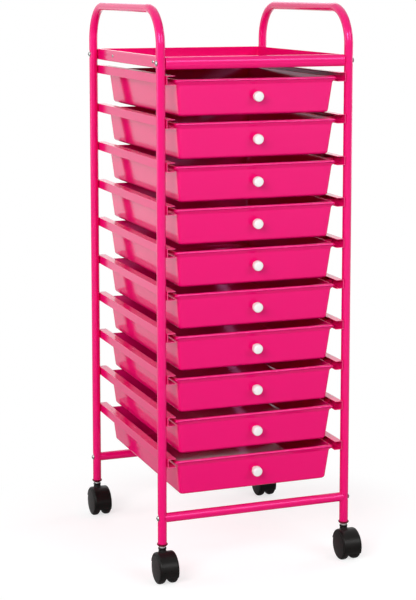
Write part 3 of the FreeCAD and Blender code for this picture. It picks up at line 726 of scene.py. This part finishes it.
def wheel_black(finishes):
    """Black plastic of the wheels, with grey rub marks on the tread."""
    black = Finish("wheel_black", Specular_IOR_Level=0.09)
    black.cast(
        finishes.wheel, deeper(finishes.wheel, 0.65), patches=(50.0, 0.6), grain=1200.0, gloss=(0.30, 0.15)
    )
    tread = add(black.tree, "Attribute", attribute_name="tread").outputs["Fac"]
    marks = black.rubbed(stretch=(0.3, 1.0, 1.0), scale=260.0, density=0.7)
    black.stain(times(black.tree, marks, tread), finishes.scuff, amount=0.7)
    black.dull(tread, amount=0.15)
    return black.done(strength=0.08, depth=0.0003)


def finish_of(builder):
    """A finish, built at its first use."""
    return bpy.data.materials.get(builder.__name__) or builder(bpy.context.scene.cart_finishes)


# Frame pieces


def arch_shell(side, sizes):
    """A circle carried along the tube's line: up the front post, round two bends and down the rear post.

    Each ring stands square to the mean of the directions on either side of its point. Around each bolt the
    outer side is pressed in along X by the dimple's depth, which fades out in a smooth step from the flat to
    the dimple's edge.
    """
    tube = posts()
    way = SIDES[side]
    front, rear = tube["front"], tube["rear"]
    bends = rounded(
        [
            (front, tube["foot"], 0.0),
            (front, tube["crown"], sizes.bend_radius),
            (rear, tube["crown"], sizes.bend_radius),
            (rear, tube["foot"], 0.0),
        ],
        steps=28,
    )
    around = np.linspace(-1.0, 1.0, 17) * sizes.dimple_edge
    rise = np.concatenate([height + around for height in bolt_heights()])
    up = np.column_stack([np.full_like(rise, front), rise])
    down = np.column_stack([np.full_like(rise, rear), rise[::-1]])
    line = np.concatenate([bends[:1], up, bends[1:-1], down, bends[-1:]])
    steps = unit_rows(np.diff(line, axis=0))
    ways = unit_rows(np.concatenate([steps[:1], steps[:-1] + steps[1:], steps[-1:]]))
    turn = evenly_round(48)
    out = tube["radius"] * np.cos(turn)
    y = line[:, :1] - ways[:, 1:] * out
    z = line[:, 1:] + ways[:, :1] * out
    x = np.broadcast_to(tube["radius"] * np.sin(turn), y.shape)
    for post_y in (front, rear):
        for bolt_z in bolt_heights():
            away = np.hypot(y - post_y, z - bolt_z)
            part = np.clip((sizes.dimple_edge - away) / (sizes.dimple_edge - sizes.dimple_flat), 0.0, 1.0)
            pressed = sizes.dimple_depth * part * part * (3 - 2 * part)
            x = np.where(way * x > 0, x - way * np.minimum(pressed, way * x), x)
    return closed_shell(np.stack([way * tube["x"] + x, y, z], axis=-1))


def bar_shell(node, sizes):
    """A cross bar: rings about X whose ends follow the posts and whose bores are stopped by plugs.

    At a distance y from the bar's axis the end lies sqrt(r * r - y * y) short of the post's axis, where r is
    the post's radius, and never nearer to it than the setback.
    """
    tube = posts()
    low, high = span(node)
    radius = (high[2] - low[2]) / 2
    middle = (low + high) / 2
    turn = evenly_round(40)
    bore = radius - sizes.bar_wall
    plug = 0.020
    rims = np.array([bore, bore, radius, radius, bore, bore])
    side = np.array([-1.0, -1.0, -1.0, 1.0, 1.0, 1.0])
    inset = np.array([plug, 0.0, 0.0, 0.0, 0.0, plug])
    y = np.outer(rims, np.cos(turn))
    z = np.outer(rims, np.sin(turn))
    gap = np.sqrt(np.clip((tube["radius"] + CLEAR) ** 2 - y**2, sizes.cope_setback**2, None))
    x = side[:, None] * (tube["x"] - gap - inset[:, None])
    return closed_shell(np.stack([x, middle[1] + y, middle[2] + z], axis=-1))


class CART_OT_tubes(bpy.types.Operator):
    """Bends the two arch tubes and cuts the two cross bars between their feet"""

    bl_idname = "cart.tubes"
    bl_label = "Tubes and cross bars"

    def execute(self, context):
        sizes = context.scene.cart_frame
        for side in SIDES:
            shells = [arch_shell(side, sizes)]
            place_piece(f"{side}_arch", shells, f"{side}_arch_tube", powder_coat)
        for end in ("front", "rear"):
            node = f"{end}_cross_bar"
            place_piece(f"{end}_bar", [bar_shell(node, sizes)], node, powder_coat)
        return {"FINISHED"}


def tray_shell(sizes):
    """A shallow pan: rounded rectangles that follow one section along the sides and another at the ends.

    Both sections run from under the floor, up the outside, over the flat rim and down to the floor's top,
    with the same heights point by point, so each pair of insets makes one ring. The outside draws in by
    e * |2z / d - 1| ** p at a height z of the depth d. A high power p makes the sides flat with round edges,
    and a low one makes the ends a full roll.
    """
    low, high = span("top_tray")
    depth = high[2] - low[2]
    rise = (1 - np.cos(np.linspace(0.0, math.pi, 33))) / 2
    floor_inset, inner_round = 0.030, 0.0025
    flat_power, roll_power = 14.0, 2.4

    def insets(wall, edge, power):
        outside = np.column_stack([edge * np.abs(2 * rise - 1) ** power, depth * rise])
        floor = sizes.tray_floor
        inside = rounded([(wall, depth, 0.0), (wall, floor, inner_round), (floor_inset, floor, 0.0)], steps=8)
        return np.concatenate([[(floor_inset, 0.0)], outside, inside])

    sides = insets(sizes.tray_side_wall, sizes.tray_edge, flat_power)
    ends = insets(sizes.tray_end_wall, sizes.tray_roll, roll_power)
    corner = np.full(len(sides), sizes.tray_corner)
    front, back = low[1] + ends[:, 0], high[1] - ends[:, 0]
    return closed_shell(outline_rings(high[0] - sides[:, 0], front, back, corner, low[2] + sides[:, 1]))


class CART_OT_tray(bpy.types.Operator):
    """Presses the top tray between the handles"""

    bl_idname = "cart.tray"
    bl_label = "Top tray"

    def execute(self, context):
        place_piece("tray", [tray_shell(context.scene.cart_frame)], "top_tray", powder_coat)
        return {"FINISHED"}


def bolt_shell(place, way, sizes):
    """A dome head with a six-sided socket: rings about the bolt's axis.

    The dome's radius and height follow a quarter ellipse, and the socket's rings have the radius a / cos(b),
    where b is the angle from the middle of the nearest flat.
    """
    columns = 36
    axis, spokes = spokes_about(way, columns)
    turn = evenly_round(columns)
    flat = (turn + math.pi / 6) % (math.pi / 3) - math.pi / 6
    socket = sizes.bolt_key / 2 / np.cos(flat)
    head, height = sizes.bolt_head / 2, sizes.bolt_height
    shank, shank_depth = np.full_like(turn, head * 0.5), 0.002
    dome_part = 0.80
    rise = np.linspace(0.0, dome_part, 9) * math.pi / 2
    dome = np.outer(head * np.cos(rise), np.ones_like(turn))
    top = height * np.sin(rise[-1])
    # The socket's rings, from its eased mouth down, as shares of its width with their heights
    rings = [(1.06, top + SHARP), (1.0, top - 2 * SHARP), (0.98, top * 0.45), (0.1, top * 0.40)]
    radius = np.stack([shank, *dome, *(socket * width for width, up in rings)])
    heights = np.concatenate([[-shank_depth], height * np.sin(rise), [up for width, up in rings]])
    return closed_shell(place + heights[:, None, None] * axis + radius[:, :, None] * spokes)


def rivet_shell(place, way, sizes):
    """A blind rivet's head: a low dome with the hole that its pin left, turned about the rivet's axis."""
    head, hole, height = sizes.rivet_head / 2, sizes.rivet_hole / 2, sizes.rivet_height
    shank_depth = 0.001
    profile = [
        (TIP, 0.0, 0.0),
        (hole, 0.0, SHARP),
        (hole, height, 2 * SHARP),
        (head * 0.75, height * 0.92, BROKEN),
        (head, 0.0, SHARP),
        (head * 0.5, -shank_depth, 0.0),
    ]
    return turned(rounded(profile, steps=4), place, way, columns=32)


class CART_OT_fasteners(bpy.types.Operator):
    """Turns the bolts through the posts and the rivets in the tray's sides"""

    bl_idname = "cart.fasteners"
    bl_label = "Bolts and rivets"

    def execute(self, context):
        sizes = context.scene.cart_frame
        tube = posts()
        reach = span("frame_bolts")[1][0] - sizes.bolt_height - sizes.dimple_depth
        bolts = [
            bolt_shell(np.array([way * reach, y, z]), (way, 0.0, 0.0), sizes)
            for way in SIDES.values()
            for y in (tube["front"], tube["rear"])
            for z in bolt_heights()
        ]
        place_piece("bolts", bolts, "frame_bolts", zinc_plate)
        wall = span("top_tray")[1][0]
        tray_middle = bolt_heights()[1]
        rivets = [
            rivet_shell(np.array([way * wall, y, tray_middle]), (way, 0.0, 0.0), sizes)
            for way in SIDES.values()
            for y in (tube["front"] + sizes.rivet_front, tube["rear"] - sizes.rivet_rear)
        ]
        place_piece("rivets", rivets, "tray_rivets", zinc_plate)
        return {"FINISHED"}


# Drawers


def tub_shell(node, sizes):
    """A drawer's tub with its rim.

    Its section runs from under the floor, up the sloping wall, round the lip and down the inside. The points
    are (inset, height): a positive inset narrows the outline evenly, and a negative one widens it by the
    lip's own reach at the sides, the front and the back.
    """
    low, high = span(node)
    half = high[0] - sizes.runner_reach
    front, back = low[1] + sizes.lip_reach, high[1] - sizes.rim_back
    depth = high[2] - low[2]
    slope = math.tan(sizes.draft)
    lip = sizes.lip_side
    below_lip = sizes.lip_height + sizes.lip_ease
    inside = depth - sizes.floor
    floor_inset = 0.030
    ease_round, under_round, rim_round = 0.0050, 0.0022, 0.0007
    section = rounded(
        [
            (floor_inset, -depth, 0.0),
            (depth * slope, -depth, sizes.foot_round),
            (below_lip * slope, -below_lip, ease_round),
            (-lip, -sizes.lip_height + sizes.lip_ease / 2, under_round),
            (-lip, 0.0, sizes.lip_round),
            (sizes.wall, 0.0, rim_round),
            (sizes.wall + inside * slope, -inside, sizes.foot_round - sizes.wall),
            (floor_inset, -inside, 0.0),
        ],
        steps=5,
    )
    inset = np.clip(section[:, 0], 0.0, None)
    out = np.clip(-section[:, 0] / lip, 0.0, None)
    rings = outline_rings(
        half - inset + out * lip,
        front + inset - out * sizes.lip_stand,
        back - inset + out * sizes.rim_back,
        sizes.corner - out * (sizes.corner - sizes.lip_corner),
        high[2] + section[:, 1],
    )
    return closed_shell(rings)


def runner_shells(node, way, sizes):
    """A runner beside a tub: an angle section carried back along Y, closed by a wall at its front."""
    low, high = span(node)
    half = high[0] - sizes.runner_reach
    outer, inner = way * high[0], way * (half + sizes.lip_side - sizes.lip_round)
    leg = way * (high[0] - sizes.rim)
    top, sheet, foot = high[2], high[2] - sizes.rim, high[2] - sizes.runner_height
    edge_round, wall_round = 0.0007, 0.0005
    section = rounded(
        [
            (inner, top, BROKEN),
            (outer, top, edge_round),
            (outer, foot, BROKEN),
            (leg, foot, BROKEN),
            (leg, sheet, BROKEN),
            (inner, sheet, BROKEN),
        ],
        steps=3,
        closed=True,
    )
    left, right = min(inner, outer), max(inner, outer)
    corners = [(left, foot), (right, foot), (right, top), (left, top)]
    wall = rounded([(*corner, wall_round) for corner in corners], steps=3, closed=True)
    start = low[1] + sizes.runner_setback
    return [carried(section, 1, start, high[1]), carried(wall, 1, start - CLEAR, start + sizes.rim)]


def knob_shell(number, sizes):
    """A knob turned about the tub wall's outward normal: a neck and a round-edged head with a low crown."""
    low, high = span(f"drawer_tub_{number}")
    wall = low[1] + sizes.lip_reach + sizes.knob_drop * math.tan(sizes.draft)
    place = np.array([0.0, wall, high[2] - sizes.knob_drop])
    outward = np.array([0.0, -math.cos(sizes.draft), -math.sin(sizes.draft)])
    head, neck = sizes.knob_head / 2, sizes.knob_neck / 2
    sink, crown = 0.0004, 0.0006
    neck_round, back_round, front_round = 0.0012, 0.0016, 0.0030
    profile = [
        (TIP, -sink, 0.0),
        (neck, -sink, SHARP),
        (neck, sizes.neck_height, neck_round),
        (head, sizes.neck_height, back_round),
        (head, sizes.knob_height - crown, front_round),
        (TIP, sizes.knob_height, 0.0),
    ]
    return turned(rounded(profile, steps=8), place, outward)


class CART_OT_drawers(bpy.types.Operator):
    """Moulds the ten drawers"""

    bl_idname = "cart.drawers"
    bl_label = "Drawers"

    def execute(self, context):
        sizes = context.scene.cart_drawer
        for number in DRAWERS:
            node = f"drawer_tub_{number}"
            shells = [tub_shell(node, sizes)]
            for way in SIDES.values():
                shells += runner_shells(node, way, sizes)
            place_piece(f"drawer_{number}", shells, node, moulded_pink)
        return {"FINISHED"}


class CART_OT_knobs(bpy.types.Operator):
    """Turns a knob for each drawer and sets it square to the sloping front"""

    bl_idname = "cart.knobs"
    bl_label = "Knobs"

    def execute(self, context):
        sizes = context.scene.cart_drawer
        for number in DRAWERS:
            shells = [knob_shell(number, sizes)]
            place_piece(f"knob_{number}", shells, f"drawer_knob_{number}", moulded_white)
        return {"FINISHED"}


# Casters


def socket_shell(x, y, sizes):
    """A socket's flange under a post: a rounded ring with a narrower foot, turned about the post's axis."""
    tube = posts()
    rim = span("caster_sockets")[1][0] - tube["x"]
    foot, top = tube["foot"] - sizes.flange, tube["foot"] - CLEAR
    recess, bore, chamfer = 0.001, sizes.stem + 0.0003, 0.0022
    foot_round, side_round, top_round = 0.0006, 0.0010, 0.0005
    profile = [
        (TIP, foot + recess, 0.0),
        (bore, foot + recess, SHARP),
        (bore, foot, SHARP),
        (rim - chamfer, foot, foot_round),
        (rim, foot + chamfer, side_round),
        (rim, top, top_round),
        (TIP, top, 0.0),
    ]
    return turned(rounded(profile, steps=5), (x, y, 0.0), (0.0, 0.0, 1.0))


def stem_shell(x, y, sizes):
    """A stem from the hood up into the post, with a shoulder under the socket, turned about its axis."""
    low, high = span("caster_stems")
    top = posts()["foot"] - sizes.flange
    bottom = top - sizes.shoulder_height
    shoulder_round = 0.0003
    profile = [
        (TIP, low[2], 0.0),
        (sizes.stem, low[2], BROKEN),
        (sizes.stem, bottom, SHARP),
        (sizes.shoulder, bottom, shoulder_round),
        (sizes.shoulder, top, shoulder_round),
        (sizes.stem, top, SHARP),
        (sizes.stem, high[2], BROKEN),
        (TIP, high[2], 0.0),
    ]
    return turned(rounded(profile, steps=4), (x, y, 0.0), (0.0, 0.0, 1.0), columns=32)


def hood_places(corner, sizes):
    """What a hood's pieces share: the axle, reaches from it, and the guard's sweep round it.

    The sweep runs from the guard's rear edge to its front edge. Near both the guard comes down to the wheels:
    the part of its height off them that is left grows by the sine of the angle from the nearer edge.
    """
    left_low, left_high = span(f"caster_wheel_{corner}_left")
    right_high = span(f"caster_wheel_{corner}_right")[1]
    low, high = span(f"caster_hood_{corner}")
    axle = (left_low + right_high) / 2
    crown = axle[1] - low[1]
    rear = math.asin(sizes.guard_rise / crown)
    front = math.pi + math.asin(sizes.guard_drop / crown)
    sweep = np.linspace(rear, front, 61)
    fade = math.radians(40)
    near_end = np.clip(np.minimum(sweep - rear, front - sweep) / fade, 0.0, 1.0)
    # The web and the collar reach this share of the wall into the guard
    overlap = 0.1
    return {
        "axle": axle,
        "half": (right_high[0] - left_low[0]) / 2 - sizes.guard_inset,
        "clear": (left_high[2] - left_low[2]) / 2 + sizes.guard_clear,
        "crown": crown,
        "inner": crown - sizes.guard_wall * (1 - overlap),
        "top": high[2] - sizes.collar_sink,
        "sweep": sweep,
        "left": sizes.guard_feather + (1 - sizes.guard_feather) * np.sin(near_end * math.pi / 2),
    }


def guard_shell(hood, sizes):
    """A hood's guard: an arched section over both wheels, carried round the axle along the sweep.

    What stands further out than the wheels' clear reach is scaled by the part that is left at each angle.
    """
    axle, half, clear, crown = (hood[name] for name in ("axle", "half", "clear", "crown"))
    shoulder, wall = sizes.guard_shoulder, sizes.guard_wall
    edge = crown - sizes.guard_skirt
    section = rounded(
        [
            (-half, edge, BROKEN),
            (-half, crown, shoulder),
            (half, crown, shoulder),
            (half, edge, BROKEN),
            (half - wall, edge, BROKEN),
            (half - wall, crown - wall, shoulder - wall),
            (wall - half, crown - wall, shoulder - wall),
            (wall - half, edge, BROKEN),
        ],
        steps=6,
        closed=True,
    )
    above = np.clip(section[:, 1] - clear, 0.0, None)
    reach = np.minimum(section[:, 1], clear) + np.outer(hood["left"], above)
    x = np.broadcast_to(axle[0] + section[:, 0], reach.shape)
    y = axle[1] + np.cos(hood["sweep"])[:, None] * reach
    z = axle[2] + np.sin(hood["sweep"])[:, None] * reach
    return closed_shell(np.stack([x, y, z], axis=-1))


def web_shell(hood, sizes):
    """A hood's web between its wheels: the guard's arc, closed through its lowest point."""
    axle, clear, sweep = hood["axle"], hood["clear"], hood["sweep"]
    arc = clear + hood["left"] * (hood["inner"] - clear)
    rim_y = np.concatenate([arc * np.cos(sweep), [0.0]])
    rim_z = np.concatenate([arc * np.sin(sweep), [-sizes.web_drop]])
    outline = np.column_stack([axle[1] + rim_y, axle[2] + rim_z])
    return carried(outline, 0, axle[0] - sizes.web / 2, axle[0] + sizes.web / 2)


def collar_shell(hood, stem_x, stem_y, sizes):
    """A hood's collar round the stem: rings that narrow upwards by the cube of what is left of their rise.

    The lowest ring follows the guard: its height is sqrt(g * g - d * d) above the axle, d behind it.
    """
    axle = hood["axle"]
    turn = evenly_round(48)
    # The plain rise, and then the rim as shares of the rise and of the rim's stand
    plain = np.linspace(0.0, 0.70, 9)
    rim = np.array([(0.74, 1.0), (0.93, 1.0), (1.0, 0.5), (1.0, -0.5)])
    rise = np.concatenate([plain, rim[:, 0]])
    stand = np.concatenate([np.zeros_like(plain), rim[:, 1]])
    radius = sizes.collar + sizes.collar_flare * (1.0 - rise) ** 3 + sizes.collar_rim * stand
    x = np.outer(radius, np.cos(turn))
    y = np.outer(radius, np.sin(turn))
    behind = stem_y + y - axle[1]
    base = axle[2] + np.sqrt(np.clip(hood["inner"] ** 2 - behind**2, 0.0, None))
    z = base + (hood["top"] - base) * rise[:, None]
    return closed_shell(np.stack([stem_x + x, stem_y + y, z], axis=-1))


def place_wheel(corner, side, sizes):
    """A wheel turned about the axle: a round-edged tread, a crowned outer face and a hub on the inner side.

    The outer face falls from its middle as a low parabola, c * (1 - r * r / (f * f)), out to the tread's
    round. The points of the tread carry the value 1 in an attribute, and all others 0.
    """
    node = f"caster_wheel_{corner}_{side}"
    low, high = span(node)
    radius, width = (high[2] - low[2]) / 2, high[0] - low[0]
    way = SIDES[side]
    inner = (low + high) / 2 - np.array([way * width / 2, 0.0, 0.0])
    rim = radius - sizes.wheel_inner_edge - sizes.wheel_rim
    face = width - sizes.face_crown
    bore, bore_depth, rim_round = 0.0032, 0.004, 0.0006
    tread = rounded(
        [
            (TIP, bore_depth, 0.0),
            (bore, bore_depth, SHARP),
            (bore, 0.0, 2 * SHARP),
            (sizes.hub, 0.0, BROKEN),
            (sizes.hub, sizes.hub_dish, BROKEN),
            (rim, sizes.hub_dish, rim_round),
            (rim, 0.0, rim_round),
            (radius, 0.0, sizes.wheel_inner_edge),
            (radius, face, sizes.wheel_edge),
            (radius - sizes.wheel_edge, face, 0.0),
        ],
        steps=7,
    )
    flat = tread[-1, 0]
    spread = np.linspace(flat, TIP, 14)[1:]
    crown = np.column_stack([spread, face + sizes.face_crown * (1 - (spread / flat) ** 2)])
    profile = np.concatenate([tread, crown])
    columns = 64
    shell = turned(profile, inner, (way, 0.0, 0.0), columns)
    piece = place_piece(f"wheel_{corner}_{side}", [shell], node, wheel_black)
    worn_part = 0.6
    on_tread = np.repeat(profile[:, 0] > radius - sizes.wheel_edge * worn_part, columns).astype(np.float32)
    mask = piece.data.attributes.new("tread", "FLOAT", "POINT")
    mask.data.foreach_set("value", on_tread)


class CART_OT_caster_fittings(bpy.types.Operator):
    """Turns the sockets under the posts and the stems in them"""

    bl_idname = "cart.caster_fittings"
    bl_label = "Sockets and stems"

    def execute(self, context):
        sizes = context.scene.cart_caster
        places = post_places().values()
        sockets = [socket_shell(x, y, sizes) for x, y in places]
        stems = [stem_shell(x, y, sizes) for x, y in places]
        place_piece("sockets", sockets, "caster_sockets", moulded_dark_red)
        place_piece("stems", stems, "caster_stems", satin_plate)
        return {"FINISHED"}


class CART_OT_casters(bpy.types.Operator):
    """Moulds the four hoods and their twin wheels"""

    bl_idname = "cart.casters"
    bl_label = "Hoods and wheels"

    def execute(self, context):
        sizes = context.scene.cart_caster
        for corner in CORNERS:
            hood = hood_places(corner, sizes)
            collar = collar_shell(hood, *post_places()[corner], sizes)
            shells = [guard_shell(hood, sizes), web_shell(hood, sizes), collar]
            place_piece(f"hood_{corner}", shells, f"caster_hood_{corner}", moulded_black)
            for side in SIDES:
                place_wheel(corner, side, sizes)
        return {"FINISHED"}


class CART_OT_kept_steel(bpy.types.Operator):
    """Finishes the rails and the small steel pieces that are shown as they come"""

    bl_idname = "cart.kept_steel"
    bl_label = "Rails and small steel"

    def execute(self, context):
        dressed = {f"{side}_rails": rail_coat for side in SIDES}
        dressed.update({name: zinc_plate for name in ("bar_inserts", "tray_inserts")})
        dressed.update({f"knob_screw_{number}": zinc_plate for number in DRAWERS})
        dressed.update({f"caster_axle_{corner}": zinc_plate for corner in CORNERS})
        for name, builder in dressed.items():
            materials = frame["nodes"][name].data.materials
            materials.clear()
            materials.append(finish_of(builder))
        return {"FINISHED"}


# Stage

WHITE = (1.0, 1.0, 1.0, 1.0)
# Each lamp's place, width and height, and the point that all of them face
LAMPS = {
    "key": ((-2.85, -3.15, 2.4), 2.4, 1.5),
    "fill": ((1.65, -3.6, 2.4), 2.4, 1.5),
    "left": ((-2.5, 0.4, 1.0), 1.4, 1.4),
    "right": ((2.5, 0.4, 1.0), 1.4, 1.4),
    "back": ((0.5, 2.4, 1.9), 1.6, 1.6),
    "top": ((0.0, 0.4, 2.9), 1.8, 1.8),
}
LAMP_TARGET = (0.0, 0.0, 0.45)


def ray_kinds(tree):
    """Masks of the rays that reach the camera straight or through something clear, and of mirrored ones."""
    rays = add(tree, "LightPath").outputs
    straight = calculated(tree, "MAXIMUM", rays["Is Camera Ray"], rays["Is Transmission Ray"])
    return straight, rays["Is Glossy Ray"]


def floor_finish(stage):
    """A pale floor that takes soft shadows near the cart and is plain white further out for the camera.

    For glossy surfaces it brightens outwards, and for light that bounces off it, it is plain pale grey.
    """
    material = bpy.data.materials.new("studio_floor")
    material.use_nodes = True
    tree = material.node_tree
    tree.nodes.clear()
    straight, glossy = ray_kinds(tree)
    place = object_place(tree)
    distance = add(tree, "VectorMath", {0: place}, operation="LENGTH").outputs["Value"]
    grain_depth = 0.02
    grain = times(tree, noise(tree, place, scale=30.0, detail=3.0), -grain_depth)
    paper = plus(tree, grain, stage.floor_shade)
    seen = calculated(tree, "MAXIMUM", straight, glossy)
    matt = add(tree, "BsdfDiffuse", {"Color": mixed(tree, seen, stage.floor, paper)}).outputs[0]
    outwards = plus(tree, times(tree, distance, stage.floor_fade), stage.floor_gloss)
    mirrored = times(tree, calculated(tree, "MINIMUM", outwards, stage.floor_far), glossy)
    lift = plus(tree, times(tree, straight, stage.floor_glow), mirrored)
    glow = add(tree, "Emission", {"Strength": lift}).outputs[0]
    near_cart = add(tree, "AddShader", {0: matt, 1: glow}).outputs[0]
    white = add(tree, "Emission", {"Strength": 1.0}).outputs[0]
    shadows_fade, all_white = 0.28, 0.48
    far = times(tree, eased(tree, distance, shadows_fade, all_white), straight)
    surface = add(tree, "MixShader", {0: far, 1: near_cart, 2: white}).outputs[0]
    add(tree, "OutputMaterial", {"Surface": surface})
    return material


def lay_floor(stage):
    """A wide level sheet under the wheels."""
    reach = 40.0
    x, y = np.meshgrid(np.linspace(-reach, reach, 3), np.linspace(-reach, reach, 3))
    points = np.column_stack([x.ravel(), y.ravel(), np.zeros(x.size)])
    index = np.arange(x.size).reshape(x.shape)
    quads = np.stack([index[:-1, :-1], index[:-1, 1:], index[1:, 1:], index[1:, :-1]], axis=-1).reshape(-1, 4)
    mesh = bpy.data.meshes.new("floor")
    mesh.from_pydata(points.tolist(), [], quads.tolist())
    mesh.materials.append(floor_finish(stage))
    floor = bpy.data.objects.new("floor", mesh)
    bpy.context.scene.collection.objects.link(floor)


def light_world(stage):
    """White for the camera, brighter for gloss but dim at the right, and faint for matt surfaces.

    The matt surfaces get most of their light from the lamps.
    """
    world = bpy.data.worlds.new("studio")
    world.use_nodes = True
    bpy.context.scene.world = world
    tree = world.node_tree
    tree.nodes.clear()
    straight, glossy = ray_kinds(tree)
    right = parts_of(tree, add(tree, "TexCoord").outputs["Generated"])["X"]
    dims, dimmest = 0.55, 0.90
    kept = plus(tree, times(tree, eased(tree, right, dims, dimmest), -stage.right_dim), 1.0)
    gloss = calculated(tree, "SUBTRACT", times(tree, kept, stage.sky_gloss), stage.sky_light)
    level = plus(tree, times(tree, glossy, gloss), stage.sky_light)
    level = plus(tree, level, times(tree, straight, 1.0 - stage.sky_light))
    background = add(tree, "Background", {"Color": WHITE, "Strength": level}).outputs[0]
    add(tree, "OutputWorld", {"Surface": background})


def hang_lamp(name, watts):
    """A soft box that faces the lamps' target."""
    place, width, height = LAMPS[name]
    data = bpy.data.lights.new(name, "AREA")
    data.shape = "RECTANGLE"
    data.size = width
    data.size_y = height
    data.energy = watts
    lamp = bpy.data.objects.new(name, data)
    lamp.location = place
    lamp.rotation_euler = (Vector(LAMP_TARGET) - Vector(place)).to_track_quat("-Z", "Y").to_euler()
    bpy.context.scene.collection.objects.link(lamp)


def stand_camera(stage):
    """The camera, level from side to side."""
    data = bpy.data.cameras.new("photo_camera")
    data.lens = stage.lens
    data.shift_y = stage.shift
    camera = bpy.data.objects.new("photo_camera", data)
    camera.location = stage.camera_place
    camera.rotation_euler = (math.pi / 2 - stage.camera_dip, 0.0, -stage.camera_turn)
    bpy.context.scene.collection.objects.link(camera)
    bpy.context.scene.camera = camera


class CART_OT_stage(bpy.types.Operator):
    """Lays the floor, lights the cart softly and stands the camera"""

    bl_idname = "cart.stage"
    bl_label = "Stage"

    def execute(self, context):
        stage = context.scene.cart_stage
        context.scene.view_settings.view_transform = "Standard"
        lay_floor(stage)
        light_world(stage)
        for name in LAMPS:
            hang_lamp(name, getattr(stage, f"{name}_power"))
        stand_camera(stage)
        return {"FINISHED"}


GROUPS = {
    "cart_frame": CartFrameSizes,
    "cart_drawer": CartDrawerSizes,
    "cart_caster": CartCasterSizes,
    "cart_finishes": CartFinishes,
    "cart_stage": CartStage,
}
STEPS = (
    CART_OT_tubes,
    CART_OT_tray,
    CART_OT_fasteners,
    CART_OT_drawers,
    CART_OT_knobs,
    CART_OT_caster_fittings,
    CART_OT_casters,
    CART_OT_kept_steel,
    CART_OT_stage,
)


class CART_PT_sidebar(bpy.types.Panel):
    """The cart's steps, with the sizes and colours that they use"""

    bl_idname = "CART_PT_sidebar"
    bl_label = "Drawer cart"
    bl_space_type = "VIEW_3D"
    bl_region_type = "UI"
    bl_category = "Drawer cart"

    def draw(self, context):
        layout = self.layout
        for step in STEPS:
            layout.operator(step.bl_idname)
        for name, group in GROUPS.items():
            box = layout.box()
            box.label(text=group.__doc__)
            for label in group.__annotations__:
                box.prop(getattr(context.scene, name), label)


def register():
    for name, group in GROUPS.items():
        bpy.utils.register_class(group)
        setattr(bpy.types.Scene, name, PointerProperty(type=group))
    for item in (*STEPS, CART_PT_sidebar):
        bpy.utils.register_class(item)


def unregister():
    for item in (CART_PT_sidebar, *reversed(STEPS)):
        bpy.utils.unregister_class(item)
    for name, group in reversed(GROUPS.items()):
        delattr(bpy.types.Scene, name)
        bpy.utils.unregister_class(group)


def main():
    register()
    bpy.ops.cart.tubes()
    bpy.ops.cart.tray()
    bpy.ops.cart.fasteners()
    bpy.ops.cart.drawers()
    bpy.ops.cart.knobs()
    bpy.ops.cart.caster_fittings()
    bpy.ops.cart.casters()
    bpy.ops.cart.kept_steel()
    bpy.ops.cart.stage()


if __name__ == "__main__":
    main()
